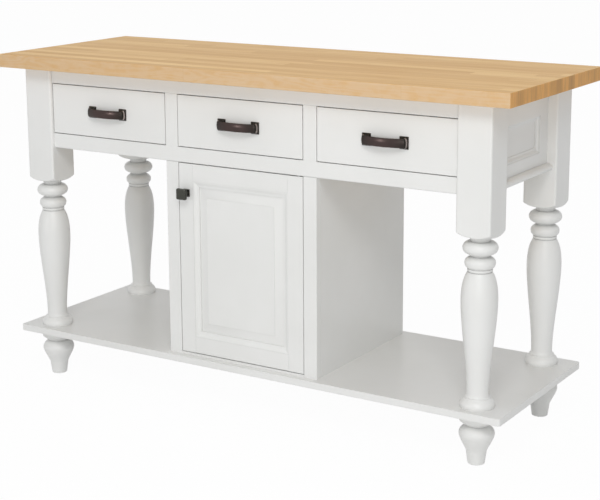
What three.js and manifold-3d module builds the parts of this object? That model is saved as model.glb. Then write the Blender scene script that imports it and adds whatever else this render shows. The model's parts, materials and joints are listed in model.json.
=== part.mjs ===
// A free-standing kitchen island: a butcher-block top on four turned legs, three inset drawers on
// telescopic slides, a centre cupboard with a raised-panel door, and an open lower shelf on turned feet.
// Millimetres, +Z up, the front faces -Y, and the origin is on the floor under the middle of the top.
import * as THREE from "three";
import { mergeVertices, toCreasedNormals } from "three/addons/utils/BufferGeometryUtils.js";
import Module from "manifold-3d";

const wasm = await Module();
wasm.setup();

// ---- Driving dimensions ----

// Top
const TOP_LENGTH = 1524;
const TOP_DEPTH = 558.8;
const COUNTER_HEIGHT = 914.4;
const TOP_THICKNESS = 35;
const TOP_EASE = 2.5;
const END_OVERHANG = 61; // past the legs at each end
const FRONT_OVERHANG = 42; // past the legs at front and back

// Legs: square blocks above, one turning below
const LEG_WIDTH = 88.9;
const LEG_EASE = 5;
const BLOCK_DROP = 85.4; // square block that shows below the rails
const TENON_RADIUS = 12.5;
const TENON_IN_FOOT = 20;

// Turning of a leg under its block, as drops below the block's corners
const SHOULDER_RISE = 29;
const SHOULDER_CLEARANCE = 5; // past the block's corners, so that its curve meets all four faces
const THROAT_RADIUS = 26;
const THROAT_DROP = 15;
const BEAD_DROP = 41.8;
const BEAD_HALF_HEIGHT = 16;
const BEAD_CLEARANCE = 2.25; // inside the faces of the square blank
const COLLAR_RADIUS = 25; // between bead and ring
const COLLAR_FLARE = 3;
const COLLAR_DROP = 60.6;
const RING_RADIUS = 36.7;
const RING_DROP = 76.8;
const RING_FOOT_DROP = 89;
const RING_FOOT_RADIUS = 33;
const RING_HEEL = 4;
const RING_SOFTNESS = 6;
const FILLET_RADIUS = 30.5;
const NECK_DROP = 98.5;
const NECK_RADIUS = 28;
const NECK_GROOVE = 3.5;
const NECK_SLOPE = [10, 9]; // radius and height over which the vase turns into its neck

// Vase and base of a leg, as heights above the lower shelf
const BELLY_CLEARANCE = 0.25; // inside the faces of the square blank
const BELLY_AT = 0.76; // of the way from the waist to the neck
const BELLY_BELOW = 63; // fullness of the belly below its widest place
const BELLY_ABOVE = 47; // and above it
const WAIST_RADIUS = 27;
const WAIST_HEIGHT = 36.5;
const WAIST_REACH = 70; // how far up the vase stays slim
const BASE_CLEARANCE = 3.5; // inside the faces of the square blank
const BASE_BULGE = 6;
const BASE_HEIGHT = 20.5;
const BASE_LIP_RADIUS = 33;
const BASE_LIP_HEIGHT = 3;

// Feet, with heights as shares of the foot's own height
const FOOT_TOE_RADIUS = 21;
const FOOT_TOE_EASE = 3; // in millimetres
const FOOT_ANKLE_RADIUS = 25.3;
const FOOT_ANKLE_AT = 0.265;
const FOOT_ANKLE_SLOPE = [2.2, 0.072]; // radius and height over which the ankle turns into the ball
const FOOT_BALL_RADIUS = 43.5;
const FOOT_BALL_AT = 0.615;
const FOOT_BALL_FULLNESS = 0.088;
const FOOT_NECK_RADIUS = 31;
const FOOT_NECK_AT = 0.785;
const FOOT_NECK_SLOPE = [6, 0.045]; // radius and height over which the ball turns into the neck
const FOOT_FLANGE_RADIUS = 43; // against the shelf
const FOOT_FLANGE_AT = 0.885;

// Lower shelf
const SHELF_HEIGHT = 143.5; // upper face
const SHELF_THICKNESS = 19;
const SHELF_END_REACH = 40; // past the legs at each end
const SHELF_FRONT_REACH = 13; // past the legs at front and back
const SHELF_CORNER = 7;
const SHELF_EASE = 2;

// Face frame and aprons
const FRAME_THICKNESS = 20;
const FRAME_INSET = 9; // behind the faces of the legs
const TOP_RAIL_HEIGHT = 40;
const DRAWER_OPENING_HEIGHT = 138;
const DRAWER_RAIL_HEIGHT = 40;
const STILE_WIDTH = 38;
const SILL_HEIGHT = 5.5; // under the door, on the lower shelf
const RAIL_EASE = 3;

// End panels, between the legs at each end
const END_INSET = 27;
const END_THICKNESS = 20;
const END_STILE = 48.5;
const END_TOP_RAIL = 72;
const END_BOTTOM_RAIL = 52;
const END_MOULD_WIDTH = 14;
const END_MOULD_DEPTH = 9;
const END_MOULD_STEP = 1.3;
const END_PANEL_THICKNESS = 8;
const END_REBATE = 8;
const END_BEAD_HEIGHT = 20; // rounded strip along the lower edge
const END_BEAD_PROUD = 17;

// Cupboard
const SIDE_THICKNESS = 18;
const BACK_THICKNESS = 9;
const BACK_REBATE = 9;
const CUPBOARD_SHELF_HEIGHT = 400;
const CUPBOARD_SHELF_THICKNESS = 18;
const CUPBOARD_SHELF_SETBACK = 14; // behind the face frame
const DADO_DEPTH = 5;

// Drawers
const REVEAL = 2; // gap round drawers and door
const DRAWER_FRONT_THICKNESS = 20;
const DRAWER_FRONT_EASE = 1.2;
const DRAWER_REAR_CLEARANCE = 16.8; // from the rear apron
const DRAWER_WALL = 12;
const DRAWER_BOX_HEIGHT = 100;
const DRAWER_BOX_LIFT = 12; // above the lower edge of its opening
const DRAWER_BOTTOM_THICKNESS = 6;
const DRAWER_BOTTOM_LIFT = 10;
const DRAWER_GROOVE = 6;

// Telescopic slides
const SLIDE_THICKNESS = 12.7;
const SLIDE_HEIGHT = 45;
const SLIDE_GAUGE = 1.5;
const SLIDE_FLANGE = 9;
const SLIDE_SETBACK = 2; // from both ends of the drawer box
const SLIDE_RUNNING_GAP = 0.4;

// Door: a coped frame with a raised panel
const DOOR_THICKNESS = 20;
const DOOR_EDGE_EASE = 1;
const DOOR_MEMBER = 60; // width of a stile or rail with its moulded edge
const DOOR_MOULD_WIDTH = 16;
const DOOR_MOULD_DEPTH = 6;
const DOOR_MOULD_STEP = 0.8;
const DOOR_TONGUE = 6;
const DOOR_TONGUE_DEPTH = 8.5; // from the door's face to the tongue of the panel
const DOOR_PANEL_PLAY = 2;
const DOOR_PANEL_FLAT = 1; // of the tongue that shows round the bevel
const DOOR_BEVEL = 25;
const DOOR_BEVEL_HOLLOW = 0.68; // share of the bevel's rise left at its middle
const DOOR_FIELD_DEPTH = 1.2; // from the door's face to the raised field
const DOOR_FIELD_STEP = 0.8;

// Pivots, catch and strike
const PIVOT_INSET = 14; // pivot axis, in from the hinge edge of the door
const PIVOT_DEPTH = 6; // and behind its face
const PIVOT_PIN_RADIUS = 2;
const PIVOT_PIN_LENGTH = 10; // in the door
const PIVOT_PIN_END_GAP = 2;
const PIVOT_COLLAR_RADIUS = 3;
const PIVOT_PLATE = [40, 12, 2.5];
const CATCH_SIZE = [38, 18, 30];
const CATCH_DROP = 90; // below the drawer rail
const STRIKE_SIZE = [22, 1.2, 22];
const STRIKE_INSET = 6; // in from the free edge of the door

// Knob
const KNOB_HEAD = 29;
const KNOB_HEAD_THICKNESS = 10;
const KNOB_HEAD_EASE = 2.5;
const KNOB_BASE = 20;
const KNOB_BASE_THICKNESS = 4;
const KNOB_BASE_EASE = 1;
const KNOB_CORNER = 0.5; // more round than the eased arris
const KNOB_STEM_RADIUS = 6;
const KNOB_PROJECTION = 28;
const KNOB_INSET = 24; // in from the free edge of the door
const KNOB_DROP = 77; // below the top of the door

// Drawer pulls
const PULL_LENGTH = 126;
const PULL_PROJECTION = 25; // at the middle of the bow
const PULL_SHOULDER = 15.5; // projection of the bow at its bends
const PULL_BEND = 7;
const PULL_BAR_HEIGHT = 22;
const PULL_BAR_THICKNESS = 5;
const PULL_BAR_INSET = 3; // of the strap from the outer edges of its pads
const PULL_PAD = [24.5, 31, 8];
const PULL_PAD_RIM = 1.5; // straight part of its edge
const PULL_PAD_TAPER = 4.5; // drawn in on each side from the rim to the front

// Clearances
const SEAT = 0.2; // between pieces that rest on or fit into each other
const JOINT_GAP = 0.3; // round coped and turned joints
const OVERRUN = 1; // of a cutter past a face, and of a joined piece into its neighbour

// Fineness of curves
const TURNING_SIDES = 20;
const TURNING_STEPS = 4;
const CURVE_STEPS = 5;
const MOULD_STEPS = 8;
const CORNER_STEPS = 2;
const CREASE_ANGLE = Math.PI / 5;
const WELD_DISTANCE = 1e-4;

// ---- Places worked out from them ----

const undersideZ = COUNTER_HEIGHT - TOP_THICKNESS;
const openingTopZ = undersideZ - TOP_RAIL_HEIGHT;
const openingBottomZ = openingTopZ - DRAWER_OPENING_HEIGHT;
const openingCentreZ = (openingTopZ + openingBottomZ) / 2;
const railBottomZ = openingBottomZ - DRAWER_RAIL_HEIGHT;
const blockBottomZ = railBottomZ - BLOCK_DROP;
const shelfBottomZ = SHELF_HEIGHT - SHELF_THICKNESS;
const tenonBottomZ = shelfBottomZ - TENON_IN_FOOT;

const legX = TOP_LENGTH / 2 - END_OVERHANG - LEG_WIDTH / 2;
const legY = TOP_DEPTH / 2 - FRONT_OVERHANG - LEG_WIDTH / 2;
const legOuterX = legX + LEG_WIDTH / 2;
const legInnerX = legX - LEG_WIDTH / 2;
const legOuterY = legY + LEG_WIDTH / 2;
const legInnerY = legY - LEG_WIDTH / 2;

const frameFaceY = FRAME_INSET - legOuterY; // front of the face frame, drawers and door
const frameBackY = frameFaceY + FRAME_THICKNESS;
const rearFaceY = -frameFaceY;
const rearInnerY = -frameBackY;
const fittingFaceY = frameFaceY - SEAT; // back of the pulls and the knob

const openingWidth = (2 * legInnerX - 2 * STILE_WIDTH) / 3;
const stileInnerX = openingWidth / 2;
const stileOuterX = stileInnerX + STILE_WIDTH;
const sideInnerX = stileOuterX - SIDE_THICKNESS;
const cupboardBackY = rearFaceY - BACK_THICKNESS;

const doorHalf = stileInnerX - REVEAL;
const sillTopZ = SHELF_HEIGHT + SILL_HEIGHT;
const doorBottomZ = sillTopZ + REVEAL;
const doorTopZ = railBottomZ - REVEAL;
const doorBackY = frameFaceY + DOOR_THICKNESS;
const doorShoulder = DOOR_MEMBER - DOOR_MOULD_WIDTH;
const pivotX = doorHalf - PIVOT_INSET;
const pivotY = frameFaceY + PIVOT_DEPTH;

// ---- Materials ----

const paint = new THREE.MeshStandardMaterial({ color: 0xe4e4e1, roughness: 0.42, metalness: 0 });
const maple = new THREE.MeshStandardMaterial({ color: 0xd8ae76, roughness: 0.48, metalness: 0 });
const birch = new THREE.MeshStandardMaterial({ color: 0xdcc59c, roughness: 0.6, metalness: 0 });
const bronze = new THREE.MeshStandardMaterial({ color: 0x33292a, roughness: 0.36, metalness: 0.85 });
const steel = new THREE.MeshStandardMaterial({ color: 0xb4b7ba, roughness: 0.35, metalness: 0.9 });
const nylon = new THREE.MeshStandardMaterial({ color: 0xe9e8e2, roughness: 0.5, metalness: 0 });

// ---- Outlines ----

const points = (pairs) => pairs.map(([a, b]) => new THREE.Vector2(a, b));

const rectangle = (a0, b0, a1, b1) => points([[a0, b0], [a1, b0], [a1, b1], [a0, b1]]);

// A rectangle round a centre with round corners, always with the same number of points.
function roundedRectangle(halfA, halfB, radius, centreA = 0, centreB = 0) {
  const path = new THREE.Path();
  const a = halfA - radius;
  const b = halfB - radius;
  path.absarc(centreA + a, centreB + b, radius, 0, Math.PI / 2);
  path.absarc(centreA - a, centreB + b, radius, Math.PI / 2, Math.PI);
  path.absarc(centreA - a, centreB - b, radius, Math.PI, 1.5 * Math.PI);
  path.absarc(centreA + a, centreB - b, radius, 1.5 * Math.PI, 2 * Math.PI);
  return path.getPoints(CORNER_STEPS);
}

// Mouldings are rows of [inset, depth]: how far the outline is drawn in, and how far below the face.

// A rounded arris, from the face down to the side.
function roundOver(radius) {
  const angles = Array.from({ length: CORNER_STEPS + 1 }, (_, i) => (i / CORNER_STEPS) * (Math.PI / 2));
  return angles.map((angle) => [radius * (1 - Math.sin(angle)), radius * (1 - Math.cos(angle))]);
}

// An S-shaped edge from a face down to a depth, with a small step at each end.
function ogee(width, depth, step) {
  const curve = new THREE.CubicBezierCurve(
    new THREE.Vector2(0, step),
    new THREE.Vector2(width * 0.5, step),
    new THREE.Vector2(width * 0.4, depth - step),
    new THREE.Vector2(width, depth - step),
  );
  return [[0, 0], ...curve.getPoints(MOULD_STEPS).map((p) => [p.x, p.y]), [width, depth]];
}

// ---- Solids ----

// Turns the triangles round if they face inwards.
function facingOut(geometry) {
  const position = geometry.getAttribute("position");
  const index = geometry.getIndex().array;
  const corner = [0, 1, 2].map(() => new THREE.Vector3());
  let volume = 0;
  for (let i = 0; i < index.length; i += 3) {
    corner.forEach((v, k) => v.fromBufferAttribute(position, index[i + k]));
    volume += corner[0].dot(corner[1].cross(corner[2]));
  }
  if (volume < 0)
    for (let i = 0; i < index.length; i += 3) [index[i], index[i + 1]] = [index[i + 1], index[i]];
  return geometry;
}

// A solid through a row of matching outlines, each at its own place along one axis.
// An outline holds (y, z) for axis x, (x, z) for axis y and (x, y) for axis z.
function loft(axis, levels) {
  const anticlockwise = (outline) =>
    THREE.ShapeUtils.isClockWise(outline) ? outline.slice().reverse() : outline;
  const rows = levels.map(([outline, at]) => [anticlockwise(outline), at]);
  const count = rows[0][0].length;
  const inSpace = { x: (a, b, at) => [at, a, b], y: (a, b, at) => [a, at, b], z: (a, b, at) => [a, b, at] };
  const positions = rows.flatMap(([outline, at]) => outline.flatMap((p) => inSpace[axis](p.x, p.y, at)));
  const index = [];
  for (let row = 0; row + 1 < rows.length; row++)
    for (let i = 0; i < count; i++) {
      const a = row * count + i;
      const b = row * count + ((i + 1) % count);
      index.push(a, b, b + count, a, b + count, a + count);
    }
  const last = (rows.length - 1) * count;
  for (const [a, b, c] of THREE.ShapeUtils.triangulateShape(rows[0][0], [])) index.push(a, c, b);
  for (const [a, b, c] of THREE.ShapeUtils.triangulateShape(rows.at(-1)[0], []))
    index.push(last + a, last + b, last + c);
  const geometry = new THREE.BufferGeometry();
  geometry.setAttribute("position", new THREE.Float32BufferAttribute(positions, 3));
  geometry.setIndex(index);
  return facingOut(geometry);
}

const prism = (axis, outline, from, to) => loft(axis, [[outline, from], [outline, to]]);

const board = ([x0, y0, z0], [x1, y1, z1]) => prism("z", rectangle(x0, y0, x1, y1), z0, z1);

// A board whose arrises are rounded: outlineAt(inset) gives its outline drawn in by that much.
function easedBlock(axis, outlineAt, from, to, ease) {
  const direction = Math.sign(to - from);
  const rising = roundOver(ease).map(([inset, depth]) => [outlineAt(inset), from + direction * depth]);
  const falling = roundOver(ease).map(([inset, depth]) => [outlineAt(inset), to - direction * depth]);
  return loft(axis, [...rising, ...falling.reverse()]);
}

// A geometry with its shared vertices merged, its collapsed triangles dropped and its faces outwards.
function closed(geometry) {
  const bare = geometry.clone();
  for (const name of ["normal", "uv"]) bare.deleteAttribute(name);
  const merged = mergeVertices(bare, WELD_DISTANCE);
  const old = merged.getIndex().array;
  const index = [];
  for (let i = 0; i < old.length; i += 3) {
    const [a, b, c] = [old[i], old[i + 1], old[i + 2]];
    if (a !== b && b !== c && a !== c) index.push(a, b, c);
  }
  merged.setIndex(index);
  return facingOut(merged);
}

// A lathe turning about the Z axis from a path of (radius, height).
function turned(path, sides = TURNING_SIDES) {
  const geometry = new THREE.LatheGeometry(path.getPoints(TURNING_STEPS), sides);
  geometry.rotateX(Math.PI / 2);
  return closed(geometry);
}

function toSolid(geometry) {
  const merged = closed(geometry);
  const mesh = new wasm.Mesh({
    numProp: 3,
    vertProperties: merged.getAttribute("position").array,
    triVerts: new Uint32Array(merged.getIndex().array),
  });
  return new wasm.Manifold(mesh);
}

function fromSolid(solid) {
  const mesh = solid.getMesh();
  const geometry = new THREE.BufferGeometry();
  geometry.setAttribute("position", new THREE.BufferAttribute(mesh.vertProperties, 3));
  geometry.setIndex(new THREE.BufferAttribute(mesh.triVerts, 1));
  return geometry;
}

const cut = (geometry, ...tools) =>
  fromSolid(tools.reduce((solid, tool) => solid.subtract(toSolid(tool)), toSolid(geometry)));

const join = (geometry, ...others) =>
  fromSolid(others.reduce((solid, other) => solid.add(toSolid(other)), toSolid(geometry)));

const common = (a, b) => fromSolid(toSolid(a).intersect(toSolid(b)));

// A round bar or bore along Z.
function cylinder(radius, x, y, z0, z1) {
  const [low, high] = [Math.min(z0, z1), Math.max(z0, z1)];
  const path = new THREE.Path();
  path.moveTo(0, low);
  path.lineTo(radius, low);
  path.lineTo(radius, high);
  path.lineTo(0, high);
  return turned(path).translate(x, y, 0);
}

const island = new THREE.Group();

function add(name, geometry, material, group = island) {
  const mesh = new THREE.Mesh(toCreasedNormals(geometry, CREASE_ANGLE), material);
  mesh.name = name;
  group.add(mesh);
}

// ---- Legs and feet ----

// From the tenon up to the neck of the vase.
function turnVase(path) {
  const baseRadius = LEG_WIDTH / 2 - BASE_CLEARANCE;
  const bellyRadius = LEG_WIDTH / 2 - BELLY_CLEARANCE;
  const baseTopZ = SHELF_HEIGHT + BASE_HEIGHT;
  const lipTopZ = baseTopZ + BASE_LIP_HEIGHT;
  const waistZ = SHELF_HEIGHT + WAIST_HEIGHT;
  const neckZ = blockBottomZ - NECK_DROP;
  const bellyZ = THREE.MathUtils.lerp(waistZ, neckZ, BELLY_AT);
  const [slopeRadius, slopeHeight] = NECK_SLOPE;
  path.moveTo(0, tenonBottomZ);
  path.lineTo(TENON_RADIUS, tenonBottomZ);
  path.lineTo(TENON_RADIUS, SHELF_HEIGHT);
  path.lineTo(baseRadius, SHELF_HEIGHT);
  path.quadraticCurveTo(baseRadius + BASE_BULGE, SHELF_HEIGHT + BASE_HEIGHT / 2, BASE_LIP_RADIUS, baseTopZ);
  path.lineTo(BASE_LIP_RADIUS, lipTopZ);
  path.quadraticCurveTo(WAIST_RADIUS, lipTopZ, WAIST_RADIUS, waistZ);
  path.bezierCurveTo(
    WAIST_RADIUS, waistZ + WAIST_REACH, bellyRadius, bellyZ - BELLY_BELOW, bellyRadius, bellyZ,
  );
  path.bezierCurveTo(
    bellyRadius, bellyZ + BELLY_ABOVE, NECK_RADIUS + slopeRadius, neckZ - slopeHeight, NECK_RADIUS, neckZ,
  );
}

// From the neck up over fillet, ring, collar and bead to the shoulder that the square block grows out of.
function turnCapital(path) {
  const beadRadius = LEG_WIDTH / 2 - BEAD_CLEARANCE;
  const shoulderReach = LEG_WIDTH * Math.SQRT1_2 + SHOULDER_CLEARANCE - THROAT_RADIUS;
  const grooveTopZ = blockBottomZ - NECK_DROP + NECK_GROOVE;
  const ringFootZ = blockBottomZ - RING_FOOT_DROP;
  const ringZ = blockBottomZ - RING_DROP;
  const collarZ = blockBottomZ - COLLAR_DROP;
  const beadZ = blockBottomZ - BEAD_DROP;
  const throatZ = blockBottomZ - THROAT_DROP;
  path.lineTo(NECK_RADIUS, grooveTopZ);
  path.lineTo(FILLET_RADIUS, grooveTopZ);
  path.lineTo(FILLET_RADIUS, ringFootZ);
  path.lineTo(RING_FOOT_RADIUS, ringFootZ);
  path.quadraticCurveTo(RING_RADIUS, ringFootZ + RING_HEEL, RING_RADIUS, ringZ);
  path.bezierCurveTo(
    RING_RADIUS, ringZ + RING_SOFTNESS, COLLAR_RADIUS + COLLAR_FLARE, collarZ - RING_SOFTNESS,
    COLLAR_RADIUS, collarZ,
  );
  path.lineTo(COLLAR_RADIUS, beadZ - BEAD_HALF_HEIGHT);
  path.absellipse(
    COLLAR_RADIUS, beadZ, beadRadius - COLLAR_RADIUS, BEAD_HALF_HEIGHT, -Math.PI / 2, Math.PI / 2,
  );
  path.lineTo(THROAT_RADIUS, throatZ);
  path.absellipse(THROAT_RADIUS, throatZ + SHOULDER_RISE, shoulderReach, SHOULDER_RISE, -Math.PI / 2, 0);
  path.lineTo(THROAT_RADIUS + shoulderReach, undersideZ);
  path.lineTo(0, undersideZ);
}

// The square blank and the lathe together: what both leave is the leg.
function leg() {
  const profile = new THREE.Path();
  turnVase(profile);
  turnCapital(profile);
  const square = roundedRectangle(LEG_WIDTH / 2, LEG_WIDTH / 2, LEG_EASE);
  return common(prism("z", square, tenonBottomZ, undersideZ), turned(profile));
}

// A toe, a ball, a neck and a flange, bored from above for the tenon of the leg.
function foot() {
  const [ankleRise, ankleReach] = FOOT_ANKLE_SLOPE;
  const [neckRise, neckReach] = FOOT_NECK_SLOPE;
  const at = (share) => shelfBottomZ * share;
  const boreRadius = TENON_RADIUS + JOINT_GAP;
  const boreZ = tenonBottomZ - JOINT_GAP;
  const path = new THREE.Path();
  path.moveTo(0, 0);
  path.lineTo(FOOT_TOE_RADIUS - FOOT_TOE_EASE, 0);
  path.lineTo(FOOT_TOE_RADIUS, FOOT_TOE_EASE);
  path.lineTo(FOOT_ANKLE_RADIUS, at(FOOT_ANKLE_AT));
  path.bezierCurveTo(
    FOOT_ANKLE_RADIUS + ankleRise, at(FOOT_ANKLE_AT + ankleReach),
    FOOT_BALL_RADIUS, at(FOOT_BALL_AT - FOOT_BALL_FULLNESS),
    FOOT_BALL_RADIUS, at(FOOT_BALL_AT),
  );
  path.bezierCurveTo(
    FOOT_BALL_RADIUS, at(FOOT_BALL_AT + FOOT_BALL_FULLNESS),
    FOOT_NECK_RADIUS + neckRise, at(FOOT_NECK_AT - neckReach),
    FOOT_NECK_RADIUS, at(FOOT_NECK_AT),
  );
  path.lineTo(FOOT_FLANGE_RADIUS, at(FOOT_FLANGE_AT));
  path.lineTo(FOOT_FLANGE_RADIUS, shelfBottomZ);
  path.lineTo(boreRadius, shelfBottomZ);
  path.lineTo(boreRadius, boreZ);
  path.lineTo(0, boreZ);
  return turned(path);
}

for (const [depthName, ySide] of [["front", -1], ["back", 1]])
  for (const [sideName, xSide] of [["left", -1], ["right", 1]]) {
    const corner = new THREE.Group();
    corner.position.set(xSide * legX, ySide * legY, 0);
    add(`leg_${depthName}_${sideName}`, leg(), paint, corner);
    add(`foot_${depthName}_${sideName}`, foot(), paint, corner);
    island.add(corner);
  }

// ---- Pivots of the door ----

// The plate of a pivot, grown by some gap. Its front edge lines up with the collar's.
function pivotPlate(z0, z1, gap = 0) {
  const [length, width] = PIVOT_PLATE;
  const endX = pivotX + PIVOT_COLLAR_RADIUS;
  const frontY = pivotY - PIVOT_COLLAR_RADIUS;
  return board([endX - length - gap, frontY - gap, z0], [endX + gap, frontY + width + gap, z1]);
}

// The recess that a plate sits in, in the case's face at caseZ.
function pivotPocket(caseZ, towardsDoor) {
  const depth = PIVOT_PLATE[2] + SEAT;
  return pivotPlate(caseZ - towardsDoor * depth, caseZ + towardsDoor * OVERRUN, SEAT);
}

// A plate let into the case, a thrust collar in the door's gap, and a pin up or down into the door.
function pivot(caseZ, towardsDoor) {
  const insideZ = caseZ - towardsDoor * OVERRUN;
  const plate = pivotPlate(caseZ - towardsDoor * PIVOT_PLATE[2], caseZ);
  const collarEndZ = caseZ + towardsDoor * (REVEAL - JOINT_GAP);
  const collar = cylinder(PIVOT_COLLAR_RADIUS, pivotX, pivotY, insideZ, collarEndZ);
  const pinEndZ = caseZ + towardsDoor * (REVEAL + PIVOT_PIN_LENGTH);
  const pin = cylinder(PIVOT_PIN_RADIUS, pivotX, pivotY, insideZ, pinEndZ);
  return join(plate, collar, pin);
}

// The bore for a pin, in the end of the hinge stile at doorZ.
function pivotBore(doorZ, intoDoor) {
  const depth = PIVOT_PIN_LENGTH + PIVOT_PIN_END_GAP;
  const radius = PIVOT_PIN_RADIUS + JOINT_GAP;
  return cylinder(radius, pivotX, pivotY, doorZ - intoDoor * OVERRUN, doorZ + intoDoor * depth);
}

add("door_pivot_upper", pivot(railBottomZ, -1), steel);
add("door_pivot_lower", pivot(sillTopZ, 1), steel);

// ---- Top and lower shelf ----

function top() {
  const outline = (inset) => roundedRectangle(TOP_LENGTH / 2 - inset, TOP_DEPTH / 2 - inset, TOP_EASE);
  return easedBlock("z", outline, undersideZ, COUNTER_HEIGHT, TOP_EASE);
}

// One board that the tenons of the legs pass through.
function lowerShelf() {
  const halfX = legOuterX + SHELF_END_REACH;
  const halfY = legOuterY + SHELF_FRONT_REACH;
  const outline = (inset) => roundedRectangle(halfX - inset, halfY - inset, SHELF_CORNER - inset);
  const holeRadius = TENON_RADIUS + JOINT_GAP;
  const holes = [[-1, -1], [1, -1], [-1, 1], [1, 1]].map(([x, y]) =>
    cylinder(holeRadius, x * legX, y * legY, shelfBottomZ - OVERRUN, SHELF_HEIGHT + OVERRUN),
  );
  const slab = easedBlock("z", outline, shelfBottomZ, SHELF_HEIGHT, SHELF_EASE);
  return cut(slab, ...holes);
}

add("butcher_block_top", top(), maple);
add("lower_shelf", lowerShelf(), paint);

// ---- Face frame ----

const railEndX = legInnerX - SEAT;

const topRail = () => board([-railEndX, frameFaceY, openingTopZ], [railEndX, frameBackY, undersideZ]);

// The rail under the drawers: its lower outer arris is rounded, and the upper pivot sits in its underside.
function drawerRail() {
  const path = new THREE.Path();
  path.moveTo(frameBackY, railBottomZ);
  path.lineTo(frameBackY, openingBottomZ);
  path.lineTo(frameFaceY, openingBottomZ);
  path.lineTo(frameFaceY, railBottomZ + RAIL_EASE);
  path.absarc(frameFaceY + RAIL_EASE, railBottomZ + RAIL_EASE, RAIL_EASE, Math.PI, 1.5 * Math.PI);
  return cut(prism("x", path.getPoints(CURVE_STEPS), -railEndX, railEndX), pivotPocket(railBottomZ, -1));
}

// A divider: its front edge is the muntin between two drawers, and behind the rails it carries the slides.
function drawerDivider(side) {
  const outline = points([
    [frameFaceY, openingBottomZ],
    [frameBackY, openingBottomZ],
    [frameBackY, railBottomZ],
    [rearInnerY, railBottomZ],
    [rearInnerY, undersideZ],
    [frameBackY, undersideZ],
    [frameBackY, openingTopZ],
    [frameFaceY, openingTopZ],
  ]);
  return prism("x", outline, side * stileInnerX, side * stileOuterX);
}

const cupboardStile = (side) =>
  board([side * stileInnerX, frameFaceY, SHELF_HEIGHT], [side * stileOuterX, frameBackY, railBottomZ]);

// The strip between the cupboard stiles that the door closes over, with the lower pivot in its top.
function sill() {
  const strip = board([-stileInnerX, frameFaceY, SHELF_HEIGHT], [stileInnerX, frameBackY, sillTopZ]);
  return cut(strip, pivotPocket(sillTopZ, 1));
}

add("top_rail", topRail(), paint);
add("drawer_rail", drawerRail(), paint);
add("cupboard_sill", sill(), paint);

// ---- Cupboard ----

// A side with a rebate for the back and a stopped dado for the shelf.
function cupboardSide(side) {
  const panel = board(
    [side * sideInnerX, frameBackY, SHELF_HEIGHT],
    [side * stileOuterX, rearFaceY, railBottomZ],
  );
  const insideX = side * (sideInnerX - OVERRUN);
  const rebate = board(
    [insideX, cupboardBackY - SEAT, SHELF_HEIGHT - OVERRUN],
    [side * (sideInnerX + BACK_REBATE), rearFaceY + OVERRUN, railBottomZ + OVERRUN],
  );
  const dado = board(
    [insideX, frameBackY + CUPBOARD_SHELF_SETBACK - SEAT, CUPBOARD_SHELF_HEIGHT - SEAT],
    [side * (sideInnerX + DADO_DEPTH), rearFaceY, CUPBOARD_SHELF_HEIGHT + CUPBOARD_SHELF_THICKNESS + SEAT],
  );
  return cut(panel, rebate, dado);
}

function cupboardBack() {
  const half = sideInnerX + BACK_REBATE - SEAT;
  return board([-half, cupboardBackY, SHELF_HEIGHT], [half, rearFaceY, railBottomZ]);
}

function cupboardShelf() {
  const half = sideInnerX + DADO_DEPTH - SEAT;
  return board(
    [-half, frameBackY + CUPBOARD_SHELF_SETBACK, CUPBOARD_SHELF_HEIGHT],
    [half, cupboardBackY - SEAT, CUPBOARD_SHELF_HEIGHT + CUPBOARD_SHELF_THICKNESS],
  );
}

for (const [name, side] of [["left", -1], ["right", 1]]) {
  add(`drawer_divider_${name}`, drawerDivider(side), paint);
  add(`cupboard_stile_${name}`, cupboardStile(side), paint);
  add(`cupboard_side_${name}`, cupboardSide(side), paint);
}
add("cupboard_back", cupboardBack(), paint);
add("cupboard_shelf", cupboardShelf(), paint);

// ---- Rear apron and end panels ----

const rearApron = () => board([-railEndX, rearInnerY, railBottomZ], [railEndX, rearFaceY, undersideZ]);

// An end is made at the right, and turned half round for the left.
const endFaceX = legOuterX - END_INSET;
const endBackX = endFaceX - END_THICKNESS;
const windowHalfY = legInnerY - END_STILE;
const windowBottomZ = railBottomZ + END_BOTTOM_RAIL;
const windowTopZ = undersideZ - END_TOP_RAIL;
const windowRebate = END_MOULD_WIDTH - END_REBATE;

// The window's outline, drawn in by some width.
const windowOutline = (inset) =>
  rectangle(-windowHalfY + inset, windowBottomZ + inset, windowHalfY - inset, windowTopZ - inset);

// A frame with a rounded strip along its lower edge, an ogee round its window and a rebate behind.
function endFrame() {
  const beadHalf = END_BEAD_HEIGHT / 2;
  const path = new THREE.Path();
  path.moveTo(endBackX, railBottomZ);
  path.lineTo(endBackX, undersideZ);
  path.lineTo(endFaceX, undersideZ);
  path.lineTo(endFaceX, railBottomZ + END_BEAD_HEIGHT);
  path.absellipse(
    endFaceX, railBottomZ + beadHalf, END_BEAD_PROUD, beadHalf, Math.PI / 2, -Math.PI / 2, true,
  );
  const frame = prism("y", path.getPoints(CURVE_STEPS), SEAT - legInnerY, legInnerY - SEAT);
  const window = loft("x", [
    [windowOutline(0), endFaceX + OVERRUN],
    ...ogee(END_MOULD_WIDTH, END_MOULD_DEPTH, END_MOULD_STEP).map(([inset, depth]) => [
      windowOutline(inset), endFaceX - depth,
    ]),
    [windowOutline(windowRebate), endFaceX - END_MOULD_DEPTH],
    [windowOutline(windowRebate), endBackX - OVERRUN],
  ]);
  return cut(frame, window);
}

function endPanel() {
  const faceX = endFaceX - END_MOULD_DEPTH - SEAT;
  return prism("x", windowOutline(windowRebate + SEAT), faceX - END_PANEL_THICKNESS, faceX);
}

add("rear_apron", rearApron(), paint);
for (const [name, turn] of [["right", 0], ["left", Math.PI]]) {
  const end = new THREE.Group();
  end.rotation.z = turn;
  add(`end_frame_${name}`, endFrame(), paint, end);
  add(`end_panel_${name}`, endPanel(), paint, end);
  island.add(end);
}

// ---- Drawers ----

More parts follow.
